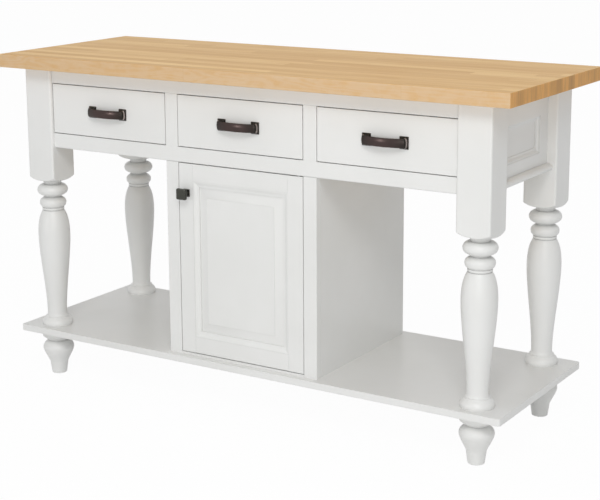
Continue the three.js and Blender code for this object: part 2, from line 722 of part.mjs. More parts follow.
// A drawer is made about x = 0 and moved to its opening.
const boxHalf = openingWidth / 2 - SLIDE_THICKNESS - 2 * SEAT;
const boxBottomZ = openingBottomZ + DRAWER_BOX_LIFT;
const boxTopZ = boxBottomZ + DRAWER_BOX_HEIGHT;
const boxFrontY = frameFaceY + DRAWER_FRONT_THICKNESS;
const boxBackY = rearInnerY - DRAWER_REAR_CLEARANCE;
const drawerBottomZ = boxBottomZ + DRAWER_BOTTOM_LIFT;
const slideZ = (boxBottomZ + boxTopZ) / 2;

function drawerFront() {
  const halfX = openingWidth / 2 - REVEAL;
  const halfZ = DRAWER_OPENING_HEIGHT / 2 - REVEAL;
  const outline = (inset) =>
    rectangle(inset - halfX, openingCentreZ - halfZ + inset, halfX - inset, openingCentreZ + halfZ - inset);
  const face = roundOver(DRAWER_FRONT_EASE).map(([inset, depth]) => [outline(inset), frameFaceY + depth]);
  return loft("y", [...face, [outline(0), boxFrontY]]);
}

// A block as wide and long as the drawer box, drawn in by some width.
const boxBlock = (inset, z0, z1) =>
  board([inset - boxHalf, boxFrontY + inset, z0], [boxHalf - inset, boxBackY - inset, z1]);

// Four walls with a groove all round for the bottom.
function drawerBox() {
  const inside = boxBlock(DRAWER_WALL, boxBottomZ - OVERRUN, boxTopZ + OVERRUN);
  const grooveTopZ = drawerBottomZ + DRAWER_BOTTOM_THICKNESS + SEAT;
  const groove = boxBlock(DRAWER_WALL - DRAWER_GROOVE, drawerBottomZ - SEAT, grooveTopZ);
  return cut(boxBlock(0, boxBottomZ, boxTopZ), inside, groove);
}

const drawerBottom = () =>
  boxBlock(DRAWER_WALL - DRAWER_GROOVE + SEAT, drawerBottomZ, drawerBottomZ + DRAWER_BOTTOM_THICKNESS);

// A channel along Y: its web stands at webX, and its flanges reach from there in a direction along X.
function channel(webX, direction, halfHeight) {
  const lip = halfHeight - SLIDE_GAUGE;
  const outline = [
    [0, -halfHeight], [SLIDE_FLANGE, -halfHeight], [SLIDE_FLANGE, -lip], [SLIDE_GAUGE, -lip],
    [SLIDE_GAUGE, lip], [SLIDE_FLANGE, lip], [SLIDE_FLANGE, halfHeight], [0, halfHeight],
  ].map(([x, z]) => [webX + direction * x, slideZ + z]);
  return prism("y", points(outline), boxFrontY + SLIDE_SETBACK, boxBackY - SLIDE_SETBACK);
}

// The part of a slide that is screwed to the case, on the left (-1) or right (1) of a drawer.
const caseSlide = (side) => channel(side * (openingWidth / 2 - SEAT), -side, SLIDE_HEIGHT / 2);

// The part on the drawer box, which runs between the flanges of the other.
const drawerSlide = (side) =>
  channel(side * (boxHalf + SEAT), side, SLIDE_HEIGHT / 2 - SLIDE_GAUGE - SLIDE_RUNNING_GAP);

// One edge of a pull's strap, from pad over the bow to pad: (x, distance from the drawer's face).
function strapEdge(inset) {
  const half = PULL_LENGTH / 2 - PULL_BAR_INSET - inset;
  const footDepth = PULL_PAD[2] / 2;
  const shoulder = PULL_SHOULDER - inset;
  const bend = PULL_BEND - inset;
  const bowControl = 2 * (PULL_PROJECTION - inset) - shoulder;
  const path = new THREE.Path();
  path.moveTo(-half, footDepth);
  path.quadraticCurveTo(-half, shoulder, bend - half, shoulder);
  path.quadraticCurveTo(0, bowControl, half - bend, shoulder);
  path.quadraticCurveTo(half, shoulder, half, footDepth);
  return path.getPoints(CURVE_STEPS);
}

// A square pad that tapers towards the strap, at the left (-1) or right (1) end of a pull.
function pullPad(side) {
  const [width, height, thickness] = PULL_PAD;
  const centreX = side * (PULL_LENGTH / 2 - width / 2);
  const outline = (inset) =>
    rectangle(
      centreX - width / 2 + inset, openingCentreZ - height / 2 + inset,
      centreX + width / 2 - inset, openingCentreZ + height / 2 - inset,
    );
  return loft("y", [
    [outline(0), fittingFaceY],
    [outline(0), fittingFaceY - PULL_PAD_RIM],
    [outline(PULL_PAD_TAPER), fittingFaceY - thickness],
  ]);
}

// A bowed strap between two pads, on the middle of a drawer front.
function pull() {
  const loop = [...strapEdge(0), ...strapEdge(PULL_BAR_THICKNESS).reverse()];
  const outline = loop.map((p) => new THREE.Vector2(p.x, fittingFaceY - p.y));
  const halfHeight = PULL_BAR_HEIGHT / 2;
  const strap = prism("z", outline, openingCentreZ - halfHeight, openingCentreZ + halfHeight);
  return join(strap, pullPad(-1), pullPad(1));
}

for (const [name, place] of [["left", -1], ["centre", 0], ["right", 1]]) {
  const drawer = new THREE.Group();
  const runners = new THREE.Group();
  for (const group of [drawer, runners]) group.position.x = place * (openingWidth + STILE_WIDTH);
  add(`drawer_front_${name}`, drawerFront(), paint, drawer);
  add(`drawer_box_${name}`, drawerBox(), birch, drawer);
  add(`drawer_bottom_${name}`, drawerBottom(), birch, drawer);
  add(`drawer_pull_${name}`, pull(), bronze, drawer);
  for (const [hand, side] of [["l", -1], ["r", 1]]) {
    add(`drawer_slide_${name}_${hand}`, drawerSlide(side), steel, drawer);
    add(`case_slide_${name}_${hand}`, caseSlide(side), steel, runners);
  }
  island.add(drawer, runners);
}

// ---- Door ----

const door = new THREE.Group();

// Cross-section of a door member: u runs in from its outer edge, v back from its face.
function memberSection() {
  const grooveBack = DOOR_TONGUE_DEPTH + DOOR_TONGUE + 2 * SEAT;
  const mould = ogee(DOOR_MOULD_WIDTH, DOOR_MOULD_DEPTH, DOOR_MOULD_STEP);
  return [
    [0, DOOR_EDGE_EASE],
    [DOOR_EDGE_EASE, 0],
    ...mould.map(([inset, depth]) => [doorShoulder + inset, depth]),
    [DOOR_MEMBER, DOOR_TONGUE_DEPTH],
    [doorShoulder, DOOR_TONGUE_DEPTH],
    [doorShoulder, grooveBack],
    [DOOR_MEMBER, grooveBack],
    [DOOR_MEMBER, DOOR_THICKNESS],
    [0, DOOR_THICKNESS],
  ];
}

// A stile at the left (-1) or right (1), moved inwards by some gap.
function doorStile(side, gap = 0) {
  const outline = memberSection().map(([u, v]) => [side * (doorHalf - u - gap), frameFaceY + v]);
  return prism("z", points(outline), doorBottomZ, doorTopZ);
}

// A rail is coped over the moulded edges of both stiles.
function doorRail(edgeZ, inwards) {
  const outline = memberSection().map(([u, v]) => [frameFaceY + v, edgeZ + inwards * u]);
  const reach = doorHalf - doorShoulder;
  return cut(prism("x", points(outline), -reach, reach), doorStile(-1, JOINT_GAP), doorStile(1, JOINT_GAP));
}

// A tongue in the grooves of the frame, a hollow bevel with mitred corners, and the raised field.
function doorPanel() {
  const outline = (inset) =>
    rectangle(inset - doorHalf, doorBottomZ + inset, doorHalf - inset, doorTopZ - inset);
  const edge = doorShoulder + DOOR_PANEL_PLAY;
  const tongueFront = DOOR_TONGUE_DEPTH + SEAT;
  const bevelStart = DOOR_MEMBER + DOOR_PANEL_FLAT;
  const bevelEnd = bevelStart + DOOR_BEVEL;
  const bevelTop = DOOR_FIELD_DEPTH + DOOR_FIELD_STEP;
  const hollow = THREE.MathUtils.lerp(bevelTop, tongueFront, DOOR_BEVEL_HOLLOW);
  const bevel = new THREE.QuadraticBezierCurve(
    new THREE.Vector2(bevelStart, tongueFront),
    new THREE.Vector2((bevelStart + bevelEnd) / 2, hollow),
    new THREE.Vector2(bevelEnd, bevelTop),
  );
  const section = [
    [edge, tongueFront + DOOR_TONGUE],
    [edge, tongueFront],
    ...bevel.getPoints(MOULD_STEPS).map((p) => [p.x, p.y]),
    [bevelEnd, DOOR_FIELD_DEPTH],
  ];
  return loft("y", section.map(([inset, depth]) => [outline(inset), frameFaceY + depth]));
}

// A square head on a smaller square base, in the middle of the lock stile.
function knob() {
  const x = KNOB_INSET - doorHalf;
  const z = doorTopZ - KNOB_DROP;
  const square = (width, ease) => (inset) =>
    roundedRectangle(width / 2 - inset, width / 2 - inset, ease + KNOB_CORNER, x, z);
  const headFrontY = fittingFaceY - KNOB_PROJECTION;
  const headBackY = headFrontY + KNOB_HEAD_THICKNESS;
  const baseFrontY = fittingFaceY - KNOB_BASE_THICKNESS;
  const base = easedBlock("y", square(KNOB_BASE, KNOB_BASE_EASE), fittingFaceY, baseFrontY, KNOB_BASE_EASE);
  const head = easedBlock("y", square(KNOB_HEAD, KNOB_HEAD_EASE), headBackY, headFrontY, KNOB_HEAD_EASE);
  const stemLength = KNOB_PROJECTION - KNOB_HEAD_THICKNESS + OVERRUN;
  const stem = cylinder(KNOB_STEM_RADIUS, 0, 0, OVERRUN, stemLength).rotateX(Math.PI / 2);
  return join(base, stem.translate(x, fittingFaceY, z), head);
}

// The steel plate behind the lock stile that meets the magnetic catch.
const catchZ = railBottomZ - CATCH_DROP;
const [strikeWidth, strikeThickness, strikeHeight] = STRIKE_SIZE;
const strikeFrontY = doorBackY + SEAT;
const strikeBackY = strikeFrontY + strikeThickness;

function strike() {
  const x = STRIKE_INSET - doorHalf;
  return board(
    [x, strikeFrontY, catchZ - strikeHeight / 2],
    [x + strikeWidth, strikeBackY, catchZ + strikeHeight / 2],
  );
}

function magneticCatch() {
  const [width, depth, height] = CATCH_SIZE;
  const x = SEAT - sideInnerX;
  const frontY = strikeBackY + SEAT;
  return board([x, frontY, catchZ - height / 2], [x + width, frontY + depth, catchZ + height / 2]);
}

const hingeStile = () => cut(doorStile(1), pivotBore(doorBottomZ, 1), pivotBore(doorTopZ, -1));

add("door_lock_stile", doorStile(-1), paint, door);
add("door_hinge_stile", hingeStile(), paint, door);
add("door_top_rail", doorRail(doorTopZ, -1), paint, door);
add("door_bottom_rail", doorRail(doorBottomZ, 1), paint, door);
add("door_panel", doorPanel(), paint, door);
add("door_knob", knob(), bronze, door);
add("catch_strike", strike(), steel, door);
add("magnetic_catch", magneticCatch(), nylon);
island.add(door);

export default island;
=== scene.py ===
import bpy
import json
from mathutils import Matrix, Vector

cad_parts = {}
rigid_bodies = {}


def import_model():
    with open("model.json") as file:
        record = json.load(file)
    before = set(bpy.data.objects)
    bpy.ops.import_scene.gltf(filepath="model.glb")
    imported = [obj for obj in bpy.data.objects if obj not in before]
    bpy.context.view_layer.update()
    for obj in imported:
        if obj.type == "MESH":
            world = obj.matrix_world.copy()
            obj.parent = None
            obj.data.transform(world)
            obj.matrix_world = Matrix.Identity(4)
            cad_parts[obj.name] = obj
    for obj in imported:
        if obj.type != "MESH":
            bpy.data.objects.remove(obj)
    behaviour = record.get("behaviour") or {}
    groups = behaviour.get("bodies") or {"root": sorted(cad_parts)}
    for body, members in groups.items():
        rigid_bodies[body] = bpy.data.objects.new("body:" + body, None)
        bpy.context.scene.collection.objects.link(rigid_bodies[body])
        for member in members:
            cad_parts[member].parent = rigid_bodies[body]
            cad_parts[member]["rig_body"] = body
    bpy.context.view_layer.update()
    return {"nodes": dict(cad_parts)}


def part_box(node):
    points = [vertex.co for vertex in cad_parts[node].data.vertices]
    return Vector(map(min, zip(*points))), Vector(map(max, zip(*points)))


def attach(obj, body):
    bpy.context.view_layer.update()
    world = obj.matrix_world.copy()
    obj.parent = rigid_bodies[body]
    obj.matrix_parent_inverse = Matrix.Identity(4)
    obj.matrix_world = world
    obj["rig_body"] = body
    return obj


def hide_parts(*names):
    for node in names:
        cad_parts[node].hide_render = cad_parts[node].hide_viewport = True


bl_info = {
    "name": "Kitchen Island",
    "version": (1, 0, 0),
    "blender": (4, 5, 0),
    "location": "3D View > Sidebar > Island",
    "description": "Dresses a kitchen island: butcher-block top, turned legs, drawers, door and finishes",
    "category": "Object",
}

import json
import math

import bmesh
import bpy
from bpy.props import FloatProperty, FloatVectorProperty, IntProperty, PointerProperty
from mathutils import Matrix, Vector

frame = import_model()

MM = 0.001
MERGE = 1e-6
CREASE = math.radians(38)
HANDS = ("left", "centre", "right")
SIDES = ("left", "right")

# ---- Places taken from the frame, in metres ----

TOP_LOW, TOP_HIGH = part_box("butcher_block_top")
SHELF_LOW, SHELF_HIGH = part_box("lower_shelf")
LEG_LOW, LEG_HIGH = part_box("leg_front_right")
RAIL_LOW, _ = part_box("drawer_rail")
FACE_Y = RAIL_LOW.y
DRAWER_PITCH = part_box("drawer_front_right")[0].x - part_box("drawer_front_centre")[0].x


# ---- Settings that a user would change ----


def colour_setting(name, default, description):
    return FloatVectorProperty(
        name=name, description=description, subtype="COLOR", size=3, min=0, max=1, default=default
    )


def length_setting(name, default, description):
    return FloatProperty(name=name, description=description, unit="LENGTH", min=0, default=default)


def share_setting(name, default, description):
    return FloatProperty(
        name=name, description=description, subtype="FACTOR", min=0, max=1, default=default
    )


class IslandPaint(bpy.types.PropertyGroup):
    colour: colour_setting("Paint", (0.80, 0.80, 0.785), "Colour of the satin paint")
    shade: colour_setting("Paint in shade", (0.765, 0.765, 0.745), "Where the coat is thinner")
    # Painted shade: the crevice colour and the hollow tone darken the paint in the quirks and hollows of
    # the mouldings, where shade falls
    crevice_shade: colour_setting("Paint in crevices", (0.34, 0.34, 0.33), "Where dust gathers in the quirks")
    hollow: share_setting("Hollow tone", 0.86, "How bright the paint stays in the hollows of the mouldings")
    crevice_shade_reach: length_setting("Crevice reach", 0.012, "How far the dark of a crevice spreads")
    roughness: share_setting("Roughness", 0.36, "How matt the paint is")
    brush_depth: length_setting("Brush marks", 0.000005, "Depth of the marks that the brush leaves")
    peel_depth: length_setting("Roller texture", 0.000008, "Depth of the fine texture of the coat")
    ease: length_setting("Eased arrises", 0.0012, "Round of the arrises of the painted boards")


class IslandBlock(bpy.types.PropertyGroup):
    stave_width: length_setting("Stave width", 0.037, "Width of one stave of the butcher block")
    stave_length: length_setting("Stave length", 0.62, "Length of one stave before the next begins")
    pale: colour_setting("Pale maple", (0.91, 0.595, 0.225), "Colour of the palest wood of the faces")
    golden: colour_setting("Golden maple", (0.69, 0.375, 0.092), "Colour of the streaks in the faces")
    # The long sides' colour is paler and pinker than the faces: partly the flat-sawn figure, partly painted
    # sheen
    edge: colour_setting("Flat-sawn maple", (0.77, 0.58, 0.37), "Colour of the long edges")
    end: colour_setting("End grain", (0.67, 0.345, 0.090), "Colour of the sawn ends")
    ring: colour_setting("Growth rings", (0.46, 0.235, 0.075), "Colour of the late wood")
    ring_spacing: length_setting("Ring spacing", 0.0031, "Distance from one growth ring to the next")
    ease: length_setting("Eased arris", 0.0024, "Round of the block's arrises")


class IslandTurning(bpy.types.PropertyGroup):
    sides: IntProperty(name="Sides", description="Facets round a turned piece", min=32, default=96)
    crowding: share_setting("Corner crowding", 0.8, "How far the facets crowd at the block's corners")
    steps: IntProperty(name="Steps", description="Points on each curve of a turning", min=4, default=14)


class IslandFittings(bpy.types.PropertyGroup):
    bronze: colour_setting("Dark bronze", (0.026, 0.0235, 0.020), "Colour of the oil-rubbed bronze")
    knob: colour_setting("Greyed bronze", (0.046, 0.047, 0.040), "Colour of the knob's bronze")
    # Rubbed colour: hand wear, and partly painted sheen on the front of the bows
    rubbed_and_sheen: colour_setting("Rubbed bronze", (0.088, 0.058, 0.055), "Colour where hands rub it")
    # Arris colour: wear, and partly painted highlight along the rims
    arris_wear_and_highlight: colour_setting("Bare arris", (0.34, 0.29, 0.27), "Where the bronze is worn off")
    steel: colour_setting("Zinc", (0.60, 0.61, 0.62), "Colour of the zinc-plated steel")
    birch: colour_setting("Birch", (0.72, 0.56, 0.36), "Colour of the drawer boxes")
    ply_line: colour_setting("Ply line", (0.42, 0.27, 0.14), "Colour of the glue lines of the plywood")
    ply: length_setting("Ply", 0.0017, "Thickness of one layer of the plywood")
    nylon: colour_setting("Nylon", (0.74, 0.73, 0.69), "Colour of the catch's plastic")
    nylon_pale: colour_setting("Pale nylon", (0.82, 0.81, 0.77), "Its palest clouds")


class IslandStage(bpy.types.PropertyGroup):
    floor: colour_setting("Floor", (0.95, 0.95, 0.95), "Colour of the floor")
    floor_light: share_setting("Floor brightness", 0.97, "Share of plain white that the camera sees")
    key: FloatProperty(name="Key light", description="Soft light from the front", min=0, default=84)
    side: FloatProperty(name="Side light", description="Soft light from the left", min=0, default=9)
    top: FloatProperty(name="Top light", description="Soft light from above", min=0, default=11)
    low: FloatProperty(name="Low light", description="Soft light near the floor", min=0, default=29)
    sky: FloatProperty(name="Surrounding light", description="Light from all round", min=0, default=0.46)


# ---- Node trees, written as Python expressions ----


class Wire:
    """A socket of a node tree. Operators add Math nodes, and node() adds any other node."""

    def __init__(self, tree, socket=None):
        self.tree = tree
        self.socket = socket

    def node(self, kind, settings=None, sockets=None, output=0):
        made = self.tree.nodes.new(kind)
        for name, value in (settings or {}).items():
            setattr(made, name, value)
        for key, value in (sockets or {}).items():
            if isinstance(value, Wire):
                self.tree.links.new(value.socket, made.inputs[key])
            else:
                made.inputs[key].default_value = value
        return Wire(self.tree, made.outputs[output])

    def into(self, kind):
        """Joins this wire to the first socket of a new end node."""
        self.tree.links.new(self.socket, self.tree.nodes.new(kind).inputs[0])

    def maths(self, operation, *others):
        return self.node("ShaderNodeMath", {"operation": operation}, dict(enumerate((self, *others))))

    def __add__(self, other):
        return self.maths("ADD", other)

    __radd__ = __add__

    def __sub__(self, other):
        return self.maths("SUBTRACT", other)

    def __rsub__(self, other):
        return self.node("ShaderNodeMath", {"operation": "SUBTRACT"}, {0: other, 1: self})

    def __mul__(self, other):
        return self.maths("MULTIPLY", other)

    __rmul__ = __mul__

    def __truediv__(self, other):
        return self.maths("DIVIDE", other)

    def __gt__(self, other):
        return self.maths("GREATER_THAN", other)

    def split(self):
        made = self.node("ShaderNodeSeparateXYZ", {}, {0: self}).socket.node
        return [Wire(self.tree, socket) for socket in made.outputs]

    def joined(self, x, y, z):
        return self.node("ShaderNodeCombineXYZ", {}, {0: x, 1: y, 2: z})

    def mix(self, low, high):
        """A colour from low to high, as this value goes from 0 to 1."""
        settings = {"data_type": "RGBA", "clamp_factor": True}
        return self.node("ShaderNodeMix", settings, {0: self, 6: low, 7: high}, 2)

    def tinted(self, colour):
        """This colour multiplied by another."""
        settings = {"data_type": "RGBA", "blend_type": "MULTIPLY"}
        return self.node("ShaderNodeMix", settings, {0: 1.0, 6: self, 7: colour}, 2)

    def grey(self):
        """This value as a colour."""
        return self.node("ShaderNodeCombineColor", {}, {0: self, 1: self, 2: self})

    def between(self, low, high):
        """0 below low, 1 above high, and smooth from one to the other."""
        settings = {"interpolation_type": "SMOOTHSTEP"}
        return self.node("ShaderNodeMapRange", settings, {"Value": self, "From Min": low, "From Max": high})

    def openness(self, reach, inside=False):
        """How open the surface is within this reach: low in its crevices, or inside, at its arrises."""
        settings = {"samples": 12, "only_local": True, "inside": inside}
        return self.node("ShaderNodeAmbientOcclusion", settings, {"Distance": reach}, 1)

    def noise(self, scale, detail=3.0, roughness=0.55):
        sockets = {"Vector": self, "Scale": scale, "Detail": detail, "Roughness": roughness}
        return self.node("ShaderNodeTexNoise", {}, sockets)

    def scaled(self, x, y, z):
        return self.node("ShaderNodeMapping", {}, {"Vector": self, "Scale": (x, y, z)})


def opaque(colour):
    return (*colour, 1.0)


def new_material(name):
    """An empty material, with a wire of its coordinates and one of its surface direction."""
    material = bpy.data.materials.new(name)
    material.use_nodes = True
    material.node_tree.nodes.clear()
    start = Wire(material.node_tree)
    place = start.node("ShaderNodeTexCoord", output="Object")
    facing = Wire(start.tree, place.socket.node.outputs["Normal"])
    return material, place, facing


def shade(place, colour, roughness, height, depth, constants=None):
    """The shader of a finish: what varies is linked, and constants are set on the shader itself."""
    bump = place.node("ShaderNodeBump", {}, {"Height": height, "Distance": depth, "Strength": 1.0})
    sockets = {"Base Color": colour, "Roughness": roughness, "Normal": bump, **(constants or {})}
    shader = place.node("ShaderNodeBsdfPrincipled", {}, sockets)
    shader.into("ShaderNodeOutputMaterial")


# ---- Finishes ----

FINISHES = {}


def finish(name, maker, *values):
    """The finish of that name, made on its first use."""
    if name not in FINISHES:
        FINISHES[name] = maker(name, *values)
    return FINISHES[name]


# How fine the noise of the marks is, per metre: across and along the brush strokes, and of the roller
BRUSH_ACROSS = 420.0
BRUSH_ALONG = 9.0
ROLLER = 900.0


def make_paint(name, along):
    """Satin paint brushed along one axis of the wood: x, y or z."""
    paint = bpy.context.scene.island_paint
    material, place, _ = new_material(name)
    stretch = {axis: BRUSH_ACROSS for axis in "xyz"}
    stretch[along] = BRUSH_ALONG
    brush = place.scaled(*(stretch[axis] for axis in "xyz")).noise(1.0, 2.0)
    peel = place.noise(ROLLER, 1.0)
    cloud = place.noise(3.2, 3.0)
    tone = cloud * 0.92 + brush * 0.08
    colour = tone.between(0.32, 0.68).mix(opaque(paint.shade), opaque(paint.colour))
    # Painted shade: where the surface is closed in, the paint is darkened to the hollow tone and, deeper
    # in, to the crevice colour
    openness = place.openness(paint.crevice_shade_reach)
    hollow = colour.tinted((paint.hollow, paint.hollow, paint.hollow, 1))
    colour = openness.between(0.40, 0.97).mix(hollow, colour)
    colour = openness.between(0.12, 0.62).mix(opaque(paint.crevice_shade), colour)
    roughness = paint.roughness - 0.03 + 0.03 * brush + 0.04 * cloud
    height = brush + peel * (paint.peel_depth / paint.brush_depth)
    shade(place, colour, roughness, height, paint.brush_depth, {"IOR": 1.48})
    return material


def painted(along):
    return finish(f"satin_paint_{along}", make_paint, along)


# In a stave: how far the heart lies to its side, how much its depth varies and the grain sways
HEART_ASIDE = 0.11
HEART_SPREAD = 0.05
GRAIN_SWAY = 0.05
# Rows begin up to this many staves apart. Glue shows between these shares of a stave, off its middle
STAGGER = 5.3
SIDE_GLUE = (0.482, 0.497)
BUTT_GLUE = (0.4990, 0.4997)


def make_maple(name):
    """Maple staves along X: growth rings in the solid wood, so the ends show end grain."""
    block = bpy.context.scene.island_block
    material, place, facing = new_material(name)
    depth = TOP_HIGH.y - TOP_LOW.y
    width = depth / round(depth / block.stave_width)
    x, y, z = place.split()
    across = (y - TOP_LOW.y) / width
    stave = across.maths("FLOOR")
    shift = place.node("ShaderNodeTexWhiteNoise", {"noise_dimensions": "1D"}, {"W": stave + 0.5})
    along = x / block.stave_length + shift * STAGGER
    piece = place.joined(stave, along.maths("FLOOR"), 0.0)
    pick = place.node("ShaderNodeTexWhiteNoise", {"noise_dimensions": "3D"}, {"Vector": piece}, "Color")
    tone, heart_side, heart_depth = pick.split()

    sway = place.joined(x * 1.9 + tone * 40, y * 5.0, z * 14.0).noise(1.0, 3.0)
    heart_y = (heart_side > 0.5) * (2 * HEART_ASIDE) - HEART_ASIDE
    off_y = (across - stave - 0.5) * width - heart_y
    off_z = z - TOP_LOW.z + (heart_depth - 0.5) * HEART_SPREAD
    radius = (off_y * off_y + off_z * off_z).maths("SQRT") + (sway - 0.5) * GRAIN_SWAY
    rings = (radius * (math.tau / block.ring_spacing)).maths("SINE") * 0.5 + 0.5

    streak = place.joined(x * 5.0 + tone * 60, y * 170, z * 120).noise(1.0, 4.0, 0.6)
    line = place.joined(x * 3.0 + tone * 20, y * 420, z * 420).noise(1.0, 3.0, 0.6)
    fibre = place.joined(x * 22, y * 1500, z * 1500).noise(1.0, 2.0, 0.6)
    warm = (tone * 0.34 + streak * 0.60 + line * 0.34).between(0.38, 0.84)
    face = warm.mix(opaque(block.pale), opaque(block.golden))
    face = (rings * 0.08 + line.between(0.56, 0.72) * 0.24).mix(face, opaque(block.ring))

    # Long sides: flat-sawn figure on a paler tint that is partly painted sheen
    _, figure_and_sheen_side, _ = facing.split()
    curl = place.joined(x * 34, y * 10, z * 52).noise(1.0, 4.0, 0.62)
    fleck = place.joined(x * 60, y * 10, z * 110).noise(1.0, 2.0)
    figure = (rings * 0.22 + curl * 0.78).between(0.36, 0.78)
    figure = figure * 0.34 + fleck.between(0.60, 0.75) * 0.16
    flat = (figure + (warm - 0.5) * 0.30).mix(opaque(block.edge), opaque(block.golden))
    face = figure_and_sheen_side.maths("ABSOLUTE").between(0.45, 0.75).mix(face, flat)

    end = facing.split()[0].maths("ABSOLUTE").between(0.45, 0.75)
    pores = place.joined(x * 3, y * 210, z * 14).noise(1.0, 4.0, 0.65)
    sawn = (pores.between(0.40, 0.62) * 0.60 + rings * 0.16).mix(opaque(block.end), opaque(block.ring))
    sawn = sawn.tinted((tone * 0.44 + 0.82).grey())
    wood = end.mix(face, sawn)

    edge = (across - stave - 0.5).maths("ABSOLUTE")
    butt = (along - along.maths("FLOOR") - 0.5).maths("ABSOLUTE")
    glue = edge.between(*SIDE_GLUE) * 0.30 + butt.between(*BUTT_GLUE) * 0.22
    colour = glue.mix(wood, opaque(block.ring))
    roughness = 0.40 + 0.16 * streak + 0.08 * end
    shade(place, colour, roughness, streak * 0.6 + fibre * 0.4 - glue * 0.8, 0.00008)
    return material


def maple():
    return finish("oiled_maple", make_maple)


def make_birch(name):
    """Birch plywood: grained faces, and the layers on the upper edges of the drawers' walls."""
    fittings = bpy.context.scene.island_fittings
    material, place, facing = new_material(name)
    low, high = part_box("drawer_box_centre")
    x, y, z = place.split()
    from_middle = (x - (x / DRAWER_PITCH).maths("ROUND") * DRAWER_PITCH).maths("ABSOLUTE")
    inside = (high.x - from_middle).maths("MINIMUM", y - low.y).maths("MINIMUM", high.y - y)
    layer = (inside / fittings.ply).maths("FRACT")
    line = (layer - 0.5).maths("ABSOLUTE").between(0.30, 0.46)
    above_floor = z > low.z + 0.05
    top_edge = facing.split()[2].maths("ABSOLUTE").between(0.5, 0.8) * above_floor
    lengthwise = facing.split()[0].maths("ABSOLUTE")
    grain_x = place.scaled(7, 60, 260).noise(1.0, 4.0)
    grain_y = place.scaled(60, 7, 260).noise(1.0, 4.0)
    grain = lengthwise * grain_y + (1 - lengthwise) * grain_x
    face = grain.between(0.3, 0.75).mix(opaque(fittings.birch), opaque(fittings.ply_line))
    face = (grain * 0.45).mix(opaque(fittings.birch), face)
    colour = (top_edge * line * 0.75).mix(face, opaque(fittings.ply_line))
    shade(place, colour, 0.46 + 0.14 * grain, grain - top_edge * line, 0.00006)
    return material


def birch():
    return finish("birch_plywood", make_birch)


# Distances in front of the case's face where hands begin to rub, and where they rub most; the paler colour
# there is also partly painted sheen on the front of the bow
RUB_STARTS = 0.010
RUB_FULL = 0.027
# How far in from an arris the bronze is made paler, as wear and painted highlight
ARRIS_WEAR_AND_HIGHLIGHT = 0.0018


def make_bronze(name, hollow, worn_and_sheen):
    """Oil-rubbed bronze: nearly black in the hollows, paler where hands reach it and as painted sheen on
    the bow's front, and pale on arrises as wear and painted highlight.
    """
    material, place, _ = new_material(name)
    patina = place.noise(240.0, 4.0, 0.6)
    cloud = place.noise(55.0, 3.0)
    y = place.split()[1]
    # Paler towards the front of the bow: hand wear, and partly painted sheen
    reach = (FACE_Y - y).between(RUB_STARTS, RUB_FULL)
    rub_and_sheen = reach * (0.35 + 0.65 * cloud) + patina.between(0.62, 0.8) * 0.15
    colour = rub_and_sheen.mix(opaque(hollow), opaque(worn_and_sheen))
    # Paler arrises: worn bare, and partly painted highlight along the rims
    at_arris = 1 - place.openness(ARRIS_WEAR_AND_HIGHLIGHT, True).between(0.45, 0.92)
    bare_and_highlit = at_arris * (0.45 + 0.55 * cloud.between(0.35, 0.6))
    colour = bare_and_highlit.mix(colour, opaque(bpy.context.scene.island_fittings.arris_wear_and_highlight))
    roughness = 0.20 - 0.03 * reach + 0.12 * patina
    shade(place, colour, roughness, patina, 0.00003, {"Metallic": 0.86})
    return material


def bronze():
    fittings = bpy.context.scene.island_fittings
    return finish("oil_rubbed_bronze", make_bronze, fittings.bronze, fittings.rubbed_and_sheen)


def greyed_bronze():
    fittings = bpy.context.scene.island_fittings
    worn_and_sheen = tuple(part * 1.5 for part in fittings.knob)
    return finish("greyed_bronze", make_bronze, fittings.knob, worn_and_sheen)


def make_steel(name):
    """Zinc-plated steel, rolled along Y, with the faint clouds of the plating."""
    fittings = bpy.context.scene.island_fittings
    material, place, _ = new_material(name)
    rolled = place.scaled(900, 14, 900).noise(1.0, 2.0)
    plating = place.noise(42.0, 4.0)
    pale = tuple(min(1, part * 1.18) for part in fittings.steel)
    colour = plating.between(0.35, 0.7).mix(opaque(fittings.steel), opaque(pale))
    roughness = 0.24 + 0.16 * rolled + 0.12 * plating
    shade(place, colour, roughness, rolled, 0.00002, {"Metallic": 1.0})
    return material


def steel():
    return finish("zinc_plated_steel", make_steel)


def make_nylon(name):
    """Moulded white plastic with a fine spark-eroded texture."""
    fittings = bpy.context.scene.island_fittings
    material, place, _ = new_material(name)
    texture = place.noise(1500.0, 2.0)
    cloud = place.noise(30.0, 2.0)
    colour = cloud.mix(opaque(fittings.nylon), opaque(fittings.nylon_pale))
    shade(place, colour, 0.40 + 0.15 * texture, texture, 0.00004)
    return material


def nylon():
    return finish("white_nylon", make_nylon)


# ---- Meshes ----


def soften(mesh):
    """Smooth faces, with every edge sharper than the crease angle kept crisp."""
    for face in mesh.faces:
        face.smooth = True
    for edge in mesh.edges:
        edge.smooth = edge.is_manifold and edge.calc_face_angle(math.pi) < CREASE


def publish(name, mesh, material, node, weighted=True):
    """The finished piece, riding on its CAD node's body and standing for that node."""
    data = bpy.data.meshes.new(name)
    mesh.to_mesh(data)
    mesh.free()
    data.materials.append(material)
    piece = bpy.data.objects.new(name, data)
    bpy.context.scene.collection.objects.link(piece)
    if weighted:
        normals = piece.modifiers.new("even_normals", "WEIGHTED_NORMAL")
        normals.keep_sharp = True
        normals.weight = 100
    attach(piece, frame["nodes"][node]["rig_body"])
    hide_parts(node)
    return piece


